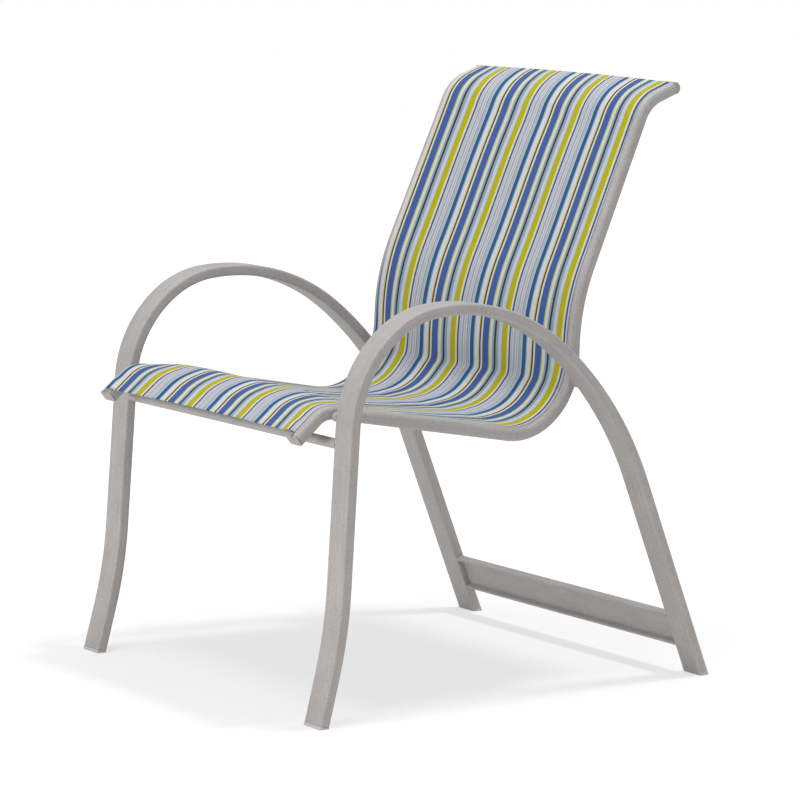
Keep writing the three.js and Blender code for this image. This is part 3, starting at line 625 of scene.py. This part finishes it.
bore = (FRAME_WIDTH - 2 * FRAME_WALL, FRAME_DEPTH - 2 * FRAME_WALL, FRAME_CORNER - FRAME_WALL)
flat_tube = section("flat_tube", rounded_rectangle(FRAME_WIDTH, FRAME_DEPTH, FRAME_CORNER),
                    rounded_rectangle(*bore))
sweep_sides("coated_side_frame", flat_tube, frame_path, FRAME_X, tube_coat, "side_frame")

# %% [markdown]
# ## Sling rails
# The rail is an extrusion with a keyhole slot in its upper face: a narrow mouth and a round channel
# under it. The edge of the sling, wrapped round a rod, is slid in from the end and can't pull out.
# The outline runs once round the outside and dips through the mouth into the channel. Its outer
# shoulder is rounder than the other three corners.

# %% Rail section
RAIL_WIDTH, RAIL_DEPTH, RAIL_CORNER = 28, 19, 4.5
RAIL_SHOULDER = 7.5  # radius of the outer shoulder
RAIL_X = 238
SLOT_X = 240.3
SLOT_MOUTH, SLOT_LIP, SLOT_ROUND = 2.6, 1.6, 0.35
CHANNEL_RADIUS = 3.6
CHANNEL_Y = RAIL_DEPTH / 2 - SLOT_LIP - math.sqrt(CHANNEL_RADIUS ** 2 - (SLOT_MOUTH / 2) ** 2)


def rail_outline(slot_floor):
    middle = RAIL_X - SLOT_X
    w, d = RAIL_WIDTH / 2 - RAIL_CORNER, RAIL_DEPTH / 2 - RAIL_CORNER
    lip, top, r, shoulder = SLOT_MOUTH / 2, RAIL_DEPTH / 2, SLOT_ROUND, RAIL_SHOULDER
    return [*arc(w, d, RAIL_CORNER, 0, 90, 6),
            *arc(middle + lip + r, top - r, r, 90, 180, 3), *slot_floor,
            *arc(middle - lip - r, top - r, r, 0, 90, 3),
            *arc(shoulder - RAIL_WIDTH / 2, top - shoulder, shoulder, 90, 180, 9),
            *arc(-w, -d, RAIL_CORNER, 180, 270, 6),
            *arc(w, -d, RAIL_CORNER, 270, 360, 6)]


open_degrees = math.degrees(math.asin(SLOT_MOUTH / 2 / CHANNEL_RADIUS))
channel = arc(RAIL_X - SLOT_X, CHANNEL_Y, CHANNEL_RADIUS, 90 - open_degrees, open_degrees - 270, 18)
keyhole = section("keyhole", rail_outline(channel))
sweep_sides("coated_rail", keyhole, rail_path, RAIL_X, tube_coat, "sling_rail")

# %% [markdown]
# ## Stations beside the rail
# The rods, the sling, the caps and the bars are all placed from the rail's middle line, so a helper
# gives the place and heading at any distance along it.

# %% Stations
SLING_START, SLING_END = 4.8, RAIL_LENGTH - 2  # mm along the rail
ROD_SETBACK = 4
ROD_RADIUS = 2.2
SPARE = 0.5  # mm along a path that a station keeps from a new end


def station(path, along):
    return [np.interp(along, path[:, 3], path[:, key]) for key in range(3)]


def part_of(path, start, end):
    inner = path[(path[:, 3] > start + SPARE) & (path[:, 3] < end - SPARE)]
    ends = [[*station(path, s), s] for s in (start, end)]
    return np.array([ends[0], *inner.tolist(), ends[1]])


rod_path = part_of(rail_path, SLING_START + ROD_SETBACK, SLING_END - ROD_SETBACK)
rod_section = section("rod", circle(ROD_RADIUS, 16, 0, CHANNEL_Y))
sweep_sides("pocket_rod", rod_section, rod_path, SLOT_X, pocket_rod, "spline_rod")

# %% [markdown]
# ## Cross pieces
# A round tube joins the front legs just under the seat's front edge, and a channel with two lips
# joins the rear legs near the floor. Both are straight, so two path points are enough, and their
# ends are stretched to meet the leaning legs.

# %% Front cross tube
TOUCH = 0.3  # mm between pieces that touch
INNER_REACH = FRAME_X - FRAME_WIDTH / 2 - TOUCH
CROSS_RADIUS, CROSS_WALL, CROSS_HEIGHT = 7.5, 1.5, 400.5
LEG_STATIONS = 60  # the front leg is among the first stations of the frame's path


def sweep_across(name, outline, points, side, reach, node):
    mesh = sweep(name, outline, points, side, tube_coat)
    splay(mesh, reach)
    one_piece(mesh, name, node)
    print(f"{name}:", len(mesh.polygons), "faces")


def from_leg_to_leg(y, z):
    return [(x * MM, y * MM, z * MM) for x in (-INNER_REACH, INNER_REACH)]


cross_y = np.interp(CROSS_HEIGHT, frame_path[:LEG_STATIONS, 1], frame_path[:LEG_STATIONS, 0])
ring = section("cross_ring", circle(CROSS_RADIUS, 40), circle(CROSS_RADIUS - CROSS_WALL, 40))
sweep_across("coated_cross_tube", ring, from_leg_to_leg(cross_y, CROSS_HEIGHT), (0, 1, 0),
             INNER_REACH, "front_cross_tube")

# %% Rear stretcher
STRETCHER_HALF, STRETCHER_DEPTH, STRETCHER_LIP, STRETCHER_WEB = 28.3, 12.5, 4.6, 2.2
STRETCHER_CORNER, STRETCHER_INNER, STRETCHER_INSET, STRETCHER_Z = 1.6, 1, 0.5, 71.2


def channel_outline():
    front = -FRAME_DEPTH / 2 + STRETCHER_INSET
    back = front + STRETCHER_DEPTH
    h, r, lip = STRETCHER_HALF, STRETCHER_CORNER, STRETCHER_LIP
    web, i = back - STRETCHER_WEB, STRETCHER_INNER
    return [*arc(back - r, -h + r, r, 270, 360, 5), *arc(back - r, h - r, r, 0, 90, 5),
            *arc(front + r, h - r, r, 90, 180, 5), *arc(front + r, h - lip + r, r, 180, 270, 5),
            *arc(web - i, h - lip - i, i, 90, 0, 4), *arc(web - i, -h + lip + i, i, 0, -90, 4),
            *arc(front + r, -h + lip - r, r, 90, 180, 5), *arc(front + r, -h + r, r, 180, 270, 5)]


leg_y, leg_z, leg_heading, _ = frame_path[-1]
stretcher_y = leg_y - (STRETCHER_Z - leg_z) / math.sin(-leg_heading) * math.cos(leg_heading)
tilt = leg_heading + math.pi / 2
sweep_across("coated_stretcher", section("stretcher_channel", channel_outline()),
             from_leg_to_leg(stretcher_y, STRETCHER_Z), (0, math.cos(tilt), math.sin(tilt)),
             INNER_REACH, "rear_stretcher")

# %% [markdown]
# ## Spreader bars
# Two bowed tubes hold the rails apart under the seat and behind the back. They bow away from the
# sitter so that the stretched cloth never touches them. Each is an arc of a circle from rail to
# rail.

# %% Spreader bars
RAIL_INNER = RAIL_X - RAIL_WIDTH / 2
BAR_RADIUS, BAR_WALL, BAR_BOW, BAR_FLANGE = 8, 1.5, 10, 2
BAR_SET = RAIL_DEPTH / 2 - BAR_RADIUS
BAR_CUTS = 24  # points from the middle to an end
NOSE_END, BACK_START = [bent_path(*RAIL_START, RAIL_PIECES[:count])[-1, 3] for count in (2, 6)]
BAR_PLACES = {"seat": NOSE_END + 190, "back": BACK_START + 165}


def beside(y, z, heading, out):
    return y - out * np.sin(heading), z + out * np.cos(heading)


def bar_points(along):
    y, z, heading = station(rail_path, along)
    y, z = beside(y, z, heading, -BAR_SET)
    reach = RAIL_INNER - 2 * TOUCH - BAR_FLANGE
    radius = (reach ** 2 + BAR_BOW ** 2) / (2 * BAR_BOW)
    half = math.asin(reach / radius)
    points = []
    for k in range(2 * BAR_CUTS + 1):
        angle = half * (k / BAR_CUTS - 1)
        drop = radius * (math.cos(angle) - math.cos(half))
        points.append((radius * math.sin(angle) * MM, (y + drop * math.sin(heading)) * MM,
                       (z - drop * math.cos(heading)) * MM))
    return points, heading, reach


bar_ring = section("bar_ring", circle(BAR_RADIUS, 32), circle(BAR_RADIUS - BAR_WALL, 32))
for place, along in BAR_PLACES.items():
    points, heading, reach = bar_points(along)
    sweep_across(f"coated_{place}_bar", bar_ring, points,
                 (0, -math.cos(heading), -math.sin(heading)), reach, f"{place}_spreader_bar")

# %% [markdown]
# ## Turned small parts
# Screws, rivet nuts, spacers and bar plugs are all round about a line across the chair. A profile
# of radius against place is turned round that line, and a ring may also be six-sided, which gives
# the screw its hexagon socket.

# %% Turning


# a ring is its place along X, its radius, and a third word where it is a hexagon across flats
def turned(name, rings, y, z, material, sides=48):
    bm = bmesh.new()
    loops = []
    for x, radius, *hexagon in rings:
        loop = []
        for k in range(sides):
            angle = 2 * math.pi * k / sides
            r = radius
            if hexagon:
                r = radius / math.cos((angle + math.pi / 6) % (math.pi / 3) - math.pi / 6)
            place = (x * MM, y + r * MM * math.cos(angle), z + r * MM * math.sin(angle))
            loop.append(bm.verts.new(place))
        loops.append(loop)
    for first, second in zip(loops, loops[1:]):
        for k in range(sides):
            n = (k + 1) % sides
            bm.faces.new((first[k], first[n], second[n], second[k]))
    if rings[0][:2] != rings[-1][:2]:
        bm.faces.new(loops[0])
        bm.faces.new(loops[-1])
    bmesh.ops.remove_doubles(bm, verts=bm.verts, dist=MERGE)
    mesh = bpy.data.meshes.new(name)
    finish_faces(bm, mesh)
    mesh.materials.append(material)
    return mesh


def rings_from(x, profile):
    return [(x + step, *rest) for step, *rest in profile]


def middle_of(node):
    low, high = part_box(node)
    return (low[1] + high[1]) / 2, (low[2] + high[2]) / 2


# %% Screws, nuts, spacers and bar plugs
RAIL_SEAT_X = RAIL_INNER - TOUCH
NUT_SEAT_X = FRAME_X - FRAME_WIDTH / 2 - TOUCH
NUT_FLANGE, NUT_LENGTH, SCREW_PAST = 0.8, 13, 2  # the screw ends 2 mm past its nut
SHANK, BORE = 3.0, 3.3  # radii of the screw and of the holes round it

nut_face = NUT_SEAT_X - NUT_FLANGE
screw_rings = [
    *rings_from(RAIL_SEAT_X, [(-1.3, 2.0, "hexagon"), (-3.3, 2.0, "hexagon"), (-3.3, 2.9),
                              (-3.1, 3.6), (-2.5, 4.4), (-1.7, 4.95), (-0.9, 5.2), (-0.2, 5.2),
                              (0, 5.0), (0, SHANK)]),
    *rings_from(nut_face + NUT_LENGTH + SCREW_PAST, [(-0.8, SHANK), (0, 2.3)])]
nut_rings = rings_from(nut_face, [(0, BORE), (0, 5.3), (0.2, 5.5), (NUT_FLANGE, 5.5),
                                  (NUT_FLANGE, 4.5), (NUT_LENGTH, 4.5), (NUT_LENGTH, BORE),
                                  (0, BORE)])
a, b = RAIL_X + RAIL_WIDTH / 2 + TOUCH, nut_face - TOUCH
spacer_rings = [(a, BORE), (a, 6.7), (a + 0.15, 7.05), (a + 0.5, 7.2), (b - 0.5, 7.2),
                (b - 0.15, 7.05), (b, 6.7), (b, BORE), (a, BORE)]
plug_rings = rings_from(RAIL_SEAT_X, [(-15, 2.6), (-14.6, 3), (-BAR_FLANGE, 3), (-BAR_FLANGE, 7.6),
                                      (-1.6, BAR_RADIUS), (-0.3, BAR_RADIUS), (0, 7.7), (0, 3),
                                      (5.4, 3), (6, 2.5)])
ROUND_PARTS = {"screw": (screw_rings, screw_steel, "steel", "bolt"),
               "rivet_nut_body": (nut_rings, screw_steel, "steel", "rivet_nut"),
               "coated_spacer": (spacer_rings, part_coat, "coat", "spacer"),
               "bar_end": (plug_rings, cap_plastic, "cap_plastic", "bar_plug")}


def turn_sides(place, kind, centre):
    rings, material, slot, node = ROUND_PARTS[kind]
    mesh = turned(f"{place}_{kind}_left", rings, *middle_of(centre), material)
    on_both_sides(mesh, f"{place}_{kind}", f"{place}_{node}")
    print(f"{place}_{kind}: 2")


for end in ("front", "rear"):
    for kind in ("screw", "rivet_nut_body", "coated_spacer"):
        turn_sides(end, kind, f"{end}_bolt_left")
for place in BAR_PLACES:
    turn_sides(place, "bar_end", f"{place}_bar_plug_left")

# %% [markdown]
# ## Caps and glides
# Each rail ends in a plastic cap: a thin plate at the front with a notch where the slot comes out,
# and a half-round one at the top. The legs stand on pale nylon glides. Moulded plastic never has
# a sharp edge, so a Bevel modifier rounds each of them a little. The measured shapes are copied,
# their loose triangles merged, and the copy is bevelled.

# %% Caps and glides
FLAT_DEGREES = 1


def refined_copy(node, name, material, bevel, cuts=3):
    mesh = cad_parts[node].data.copy()
    mesh.name = name
    bm = merged_copy(mesh)
    bmesh.ops.dissolve_limit(bm, angle_limit=math.radians(FLAT_DEGREES), verts=bm.verts,
                             edges=bm.edges)
    finish_faces(bm, mesh)
    mesh.materials.clear()
    mesh.materials.append(material)
    made = one_piece(mesh, name, node)
    edges = made.modifiers.new("rounded_edges", "BEVEL")
    edges.width = bevel * MM
    edges.segments = cuts
    edges.limit_method = "ANGLE"
    edges.angle_limit = math.radians(SHARP_DEGREES)


for side in ("left", "right"):
    refined_copy(f"rail_front_cap_{side}", f"front_cap_{side}", cap_plastic, 1.1, 5)
    refined_copy(f"rail_top_cap_{side}", f"top_cap_{side}", cap_plastic, 0.9)
    for end in ("front", "rear"):
        refined_copy(f"{end}_glide_{side}", f"{end}_foot_{side}", glide_nylon, 0.35)
print("caps and glides: 8")

# %% [markdown]
# ## The sling's stripes
# The cloth is woven from coated yarn in lengthwise stripes that repeat every 129 mm. A weaver
# writes such a repeat as a list of yarns and widths, and so does this cell, with a dozen plain
# yarn colours. A colour ramp with hard steps holds the repeat, and the place in the repeat is what
# is left after dividing the cloth's own width coordinate by the repeat. The coordinate comes from
# a UV map in metres, so the stripes follow the sheet over the nose and round the rods.

# %% Stripe colours
YARNS = {"lime": (180, 175, 20), "white": (215, 210, 210), "teal": (45, 90, 135),
         "pearl": (200, 200, 205), "rose": (185, 170, 170), "sky": (135, 165, 185),
         "iris": (140, 150, 175), "mist": (180, 195, 205), "straw": (190, 190, 75),
         "olive": (60, 65, 45), "royal": (65, 95, 160), "brown": (70, 50, 40)}
STRIPES = [  # yarn, width in mm
    ("lime", 13), ("white", 4.5), ("teal", 4), ("pearl", 2.5), ("rose", 2), ("pearl", 3.5),
    ("sky", 3), ("pearl", 3.5), ("rose", 2.5), ("pearl", 3), ("iris", 2.5), ("mist", 2),
    ("sky", 2), ("mist", 3), ("teal", 8.5), ("sky", 2.5), ("white", 10), ("straw", 2),
    ("olive", 3.5), ("white", 4), ("royal", 15.5), ("straw", 3), ("white", 6), ("sky", 4.5),
    ("brown", 4.5), ("sky", 6), ("pearl", 8.4)]
REPEAT = sum(width for _, width in STRIPES)
FIRST_STRIPE = -172.3  # where on the cloth the repeat starts, in mm from the middle


def stripe_ramp(tree, factor):
    ramp = add_node(tree, "ShaderNodeValToRGB", {0: factor})
    colours = ramp.color_ramp
    colours.interpolation = "CONSTANT"
    while len(colours.elements) < len(STRIPES):
        colours.elements.new(0.5)
    starts = np.cumsum([0] + [width for _, width in STRIPES[:-1]]) / REPEAT
    for element, start in zip(colours.elements, starts):
        element.position = start
    for element, (yarn, _) in zip(colours.elements, STRIPES):
        element.color = shade(*YARNS[yarn])
    return ramp.outputs[0]


print("stripes in a repeat:", len(STRIPES))

# %% [markdown]
# ## The weave
# Up close the sheet is an open plain weave of round yarns, about one in a millimetre. In such a
# weave the lengthwise yarn is on top in every other cell, like a chessboard. The group works out
# which yarn is on top, gives each yarn a round height, and darkens the low places between them with
# painted shade.

# %% Weave group
SLUB_SCALE = (900, 60, 0)  # spots in a metre across and along the cloth


def build_weave_group():
    group, given, result = new_group(
        "plain_weave",
        [("Place", VECTOR, None), ("Warp pitch", NUMBER, 0.0011), ("Weft pitch", NUMBER, 0.0014),
         ("Gap painted shade", NUMBER, 0.6), ("Colour", COLOUR, (0.5, 0.5, 0.5, 1))],
        [("Colour", COLOUR), ("Height", NUMBER), ("Roughness", NUMBER)])
    parts = add_node(group, "ShaderNodeSeparateXYZ", {0: given["Place"]})
    waves = []
    for key, pitch in ((0, "Warp pitch"), (1, "Weft pitch")):
        turns = calculate(group, "DIVIDE", parts.outputs[key], given[pitch])
        waves.append(calculate(group, "SINE", calculate(group, "MULTIPLY", turns, math.pi)))
    product = calculate(group, "MULTIPLY", waves[0], waves[1])
    warp_on_top = calculate(group, "GREATER_THAN", product, 0.0)
    rounds = [calculate(group, "ABSOLUTE", wave) for wave in waves]

    def yarn(width, length):
        body = calculate(group, "POWER", width, 0.5)
        hump = calculate(group, "ADD", calculate(group, "MULTIPLY", length, 0.4), 0.6)
        return calculate(group, "MULTIPLY", body, hump)

    heights = [yarn(rounds[0], rounds[1]), yarn(rounds[1], rounds[0])]
    mixed = add_node(group, "ShaderNodeMix", {0: warp_on_top, 2: heights[1], 3: heights[0]},
                     data_type="FLOAT").outputs[0]
    slub = noise(group, multiply_vector(group, given["Place"], SLUB_SCALE), 1.0)
    uneven = map_range(group, slub, 0.3, 0.7, 0.93, 1.06)
    # painted shade: the yarn colour is darkened where the height is low, between the yarns
    painted_gap_shade = map_range(group, mixed, 0.0, 0.75, given["Gap painted shade"], 1.05)
    level = calculate(group, "MULTIPLY", painted_gap_shade, uneven)
    fill(group, result, {"Colour": multiply_vector(group, given["Colour"], level),
                         "Height": mixed,
                         "Roughness": map_range(group, mixed, 0.0, 1.0, 0.9, 0.62)})
    return group


weave_group = build_weave_group()
print("group", weave_group.name)

# %% Sling material


def sling_material():
    material, tree, shader = new_material("sling_cloth")
    lay = add_node(tree, "ShaderNodeUVMap", uv_map="cloth").outputs[0]
    wide = add_node(tree, "ShaderNodeSeparateXYZ", {0: lay}).outputs[0]
    moved = calculate(tree, "SUBTRACT", wide, FIRST_STRIPE * MM)
    repeats = calculate(tree, "DIVIDE", moved, REPEAT * MM)
    colour = stripe_ramp(tree, calculate(tree, "FRACT", repeats))
    weave = add_node(tree, "ShaderNodeGroup", {"Place": lay, "Colour": colour},
                     node_tree=weave_group).outputs
    fill(tree, shader, {"Base Color": weave["Colour"], "Roughness": weave["Roughness"],
                        "Normal": bump(tree, 0.3, weave["Height"]), "Specular IOR Level": 0.2})
    return material


sling_cloth = sling_material()
print("made", sling_cloth.name)

# %% [markdown]
# ## The sling's shape
# The sheet is stretched between the rails, so across the chair it is nearly straight, and along the
# chair it follows the rails. It isn't quite flat: behind the nose it crests, the seat hangs hollow,
# and where seat meets back it creases. Heights along the rail's length, joined by a smooth curve,
# hold that form. It fades out towards the rails as a parabola, and at the crest as a much flatter
# curve, because there the cloth is pulled over the nose like a drum skin. Where it stands high it
# also lifts off the rails as far as the slot. The crest leans a little towards the chair's right,
# as it does in the picture.

# %% Rise of the middle line
CREST = 10  # mm that a rise of 1 stands for
RISES = [  # share of the rail's length, rise
    (0, -0.75), (0.03, -0.74), (0.045, -0.64), (0.06, -0.25), (0.073, 0.35), (0.088, 0.82),
    (0.103, 0.98), (0.119, 0.88), (0.15, 0.4), (0.2, -0.45), (0.24, -0.74), (0.28, -0.39),
    (0.33, 0), (0.385, 0.7), (0.42, 0.84), (0.447, 0.45), (0.476, -0.02), (0.495, -0.25),
    (0.509, -0.45), (0.5214, -0.74), (0.529, -0.52), (0.5423, -0.12), (0.5566, 0.08),
    (0.5708, 0.08), (0.59, 0), (0.618, -0.2), (0.66, -0.45), (0.7, -0.6), (0.86, -0.62),
    (0.92, -0.8), (0.943, -0.68), (0.967, -0.12), (0.98, 0.2), (1, 0.3)]
DRUM_PLACE, DRUM_REACH = 108, 52  # the stretch along the rail where the cross curve is flatter
DRUM_POWER, DRUM_LEAN = 4, 0.22


def sling_rise(along, across):
    places, rises = np.array(RISES).T
    slopes = np.gradient(rises, places)
    share = np.clip(along / RAIL_LENGTH, 0, 1)
    k = np.clip(np.searchsorted(places, share) - 1, 0, len(places) - 2)
    step = places[k + 1] - places[k]
    t = (share - places[k]) / step
    middle = CREST * (rises[k] * (1 + 2 * t) * (1 - t) ** 2
                      + slopes[k] * step * t * (1 - t) ** 2
                      + rises[k + 1] * t ** 2 * (3 - 2 * t)
                      - slopes[k + 1] * step * t ** 2 * (1 - t))
    drum = np.exp(-((along - DRUM_PLACE) / DRUM_REACH) ** 2)
    edge = np.where(middle > 0, SLOT_X, RAIL_INNER)
    reach = np.clip(np.abs(across) / edge, 0, 1)
    lean = 1 - DRUM_LEAN * drum * across / edge
    return middle * (1 - reach ** (2 + DRUM_POWER * drum)) * lean


crest_place, _ = max(RISES, key=lambda pair: pair[1])
print("rise at the crest", round(float(sling_rise(crest_place * RAIL_LENGTH, 0.0)), 1), "mm")

# %% [markdown]
# ## The sling's section
# Across the chair the sheet is one long line: it lies over the rail, turns down through the mouth
# of the slot, goes round the rod, comes up again and ends as a flap that is sewn under the sheet.
# The line is written once for the left side, from the middle of the chair outwards, and mirrored.

# %% Section of the sheet
CLOTH = 0.55
FACE = 10.9 - CLOTH / 2  # the sheet's middle surface over the rail's middle line
FLAP = FACE - CLOTH - 0.04
NECK, POCKET = 0.5, 2.85  # half the neck's width and the radius round the rod
TURN, FLAP_TURN = 1.2, 0.7  # radii into the slot and out of it
COLUMNS = 50
TOP_X, FLAP_X = (228, 232, 236), (237, 234.5, 232, 229.5)  # points over the rail


def sheet_half():
    flat = [(RAIL_INNER * k / COLUMNS, FACE) for k in range(COLUMNS + 1)]
    turn_down = arc(SLOT_X + NECK - TURN, FACE - TURN, TURN, 90, 0, 4)
    mouth = CHANNEL_Y + math.sqrt(POCKET ** 2 - NECK ** 2) + TURN
    start = math.degrees(math.acos(NECK / POCKET))
    loop = arc(SLOT_X, CHANNEL_Y, POCKET, start, start - 360 + 2 * (90 - start), 16)
    up = arc(SLOT_X - NECK - FLAP_TURN, FLAP - FLAP_TURN, FLAP_TURN, 0, 90, 3)
    return np.array([*flat, *[(x, FACE) for x in TOP_X], *turn_down, (SLOT_X + NECK, mouth), *loop,
                     (SLOT_X - NECK, mouth), *up, *[(x, FLAP) for x in FLAP_X]])


half_line = sheet_half()
line = np.concatenate([half_line[:0:-1] * [-1, 1], half_line])
walked = np.concatenate([[0], np.cumsum(np.hypot(*np.diff(line, axis=0).T))])
walked -= walked[len(half_line) - 1]
print("sheet is", round(walked[-1] - walked[0]), "mm wide before the splay,", len(line), "columns")

# %% [markdown]
# ## Building the sheet
# The section is carried along the rail as a grid of points. At the front and at the top the sheet
# is folded under and hemmed, but only between the rails, because over them there is no room. Each
# point gets its place on the flat cloth as a UV, in metres. A Solidify modifier gives the sheet its
# thickness.

# %% Sheet grid
ROW_STEP = 5.0
HEM_DEPTH, HEM_SPACE = 15, 0.12
HEM_DROP = CLOTH + HEM_SPACE
HEM_ROWS = (HEM_DEPTH, 10, 5, 1.2)  # distances from the fold, in mm
FOLD = 0.35  # from the edge to the first row on either side of it
HEM_COLUMNS = np.abs(line[:, 0]) < RAIL_INNER - 1
SCALLOP, SCALLOP_REACH = 8, 90  # the front edge is cut back in a shallow curve between the rails
HEM_GAP, HEM_GAP_REACH = 2.2, 12  # over the rails the front edge stands off a little
# on the right of the seat the stripes beyond 172 mm are narrower, and along the rail that fades out
SQUEEZE, SQUEEZED, SQUEEZE_FADE = 0.12, 172, (560, 760)
TAPER = 0.45  # how much of the rails' change in distance the cloth's own width follows
MEAN_HALF = 245.4


def fade(along, reach):
    return max(0.0, 1 - max(0.0, along - SLING_START - HEM_DEPTH) / reach)


def grid_row(along, drop):
    x = line[:, 0]
    between = np.clip(np.abs(x) / RAIL_INNER, 0, 1)
    on_top = line[:, 1] >= FACE - 1e-6
    cut = along + SCALLOP * fade(along, SCALLOP_REACH) * (1 - between ** 2)
    y, z, heading = station(rail_path, cut)
    rise = sling_rise(along, x) + np.where(between == 1, HEM_GAP * fade(along, HEM_GAP_REACH), 0)
    out = line[:, 1] - drop + np.where(on_top, rise, 0)
    py, pz = beside(y, z, heading, out)
    outward = splay_at(py, pz)
    px = np.sign(x) * (np.abs(x) + outward * between)
    half = SLOT_X + splay_at(y, z)
    wrapped = np.maximum(np.abs(walked) - SLOT_X, 0)
    flat_x = np.where(wrapped > 0, SLOT_X + outward + wrapped, np.abs(px))
    squeeze = np.where(x < 0, SQUEEZE * np.interp(along, SQUEEZE_FADE, (1, 0)), 0)
    flat_x += squeeze * np.maximum(flat_x - SQUEEZED, 0)
    u = np.sign(x) * flat_x / (1 + TAPER * (half / MEAN_HALF - 1))
    return np.stack([px, py, pz], axis=1) * MM, u * MM, cut * MM


hem = [(SLING_START + distance, HEM_DROP) for distance in HEM_ROWS]
hem += [(SLING_START + FOLD, CLOTH), (SLING_START, HEM_DROP / 2)]
first, last = SLING_START + FOLD, SLING_END - FOLD
main_rows = np.linspace(first, last, math.ceil((last - first) / ROW_STEP) + 1)
main_rows = np.unique([*main_rows, SLING_START + HEM_DEPTH, SLING_END - HEM_DEPTH])
print("rows:", len(main_rows))

# %% Sheet mesh


def build_sheet():
    points, uvs, index, faces = [], [], {}, []
    plan = [(along, drop, True) for along, drop in hem]
    plan += [(along, 0.0, False) for along in main_rows]
    plan += [(SLING_START + SLING_END - along, drop, True) for along, drop in reversed(hem)]
    for r, (along, drop, hemmed) in enumerate(plan):
        place, u, v = grid_row(along, drop)
        for c in range(len(line)):
            if hemmed and not HEM_COLUMNS[c]:
                continue
            index[r, c] = len(points)
            points.append(place[c])
            uvs.append((u[c], v[c]))
    for r in range(len(plan) - 1):
        for c in range(len(line) - 1):
            corners = [(r, c), (r, c + 1), (r + 1, c + 1), (r + 1, c)]
            if all(corner in index for corner in corners):
                faces.append([index[corner] for corner in corners])
    mesh = bpy.data.meshes.new("striped_sling")
    mesh.from_pydata(points, [], faces)
    layer = mesh.uv_layers.new(name="cloth")
    loops = np.empty(len(mesh.loops), dtype=np.int32)
    mesh.loops.foreach_get("vertex_index", loops)
    layer.data.foreach_set("uv", np.array(uvs)[loops].astype(np.float32).ravel())
    mesh.shade_smooth()
    mesh.materials.append(sling_cloth)
    return mesh


sling_mesh = build_sheet()
print("sheet:", len(sling_mesh.vertices), "points,", len(sling_mesh.polygons), "faces")

# %% Sling object
sling = one_piece(sling_mesh, "striped_sling", "sling_fabric")
wall = sling.modifiers.new("cloth_thickness", "SOLIDIFY")
wall.thickness = CLOTH * MM
wall.offset = 0

# %% [markdown]
# ## Finish
# The outlines that were swept have done their work and are removed.

# %% Finish
for outline in [o for o in bpy.data.objects if o.type == "CURVE"]:
    bpy.data.objects.remove(outline)
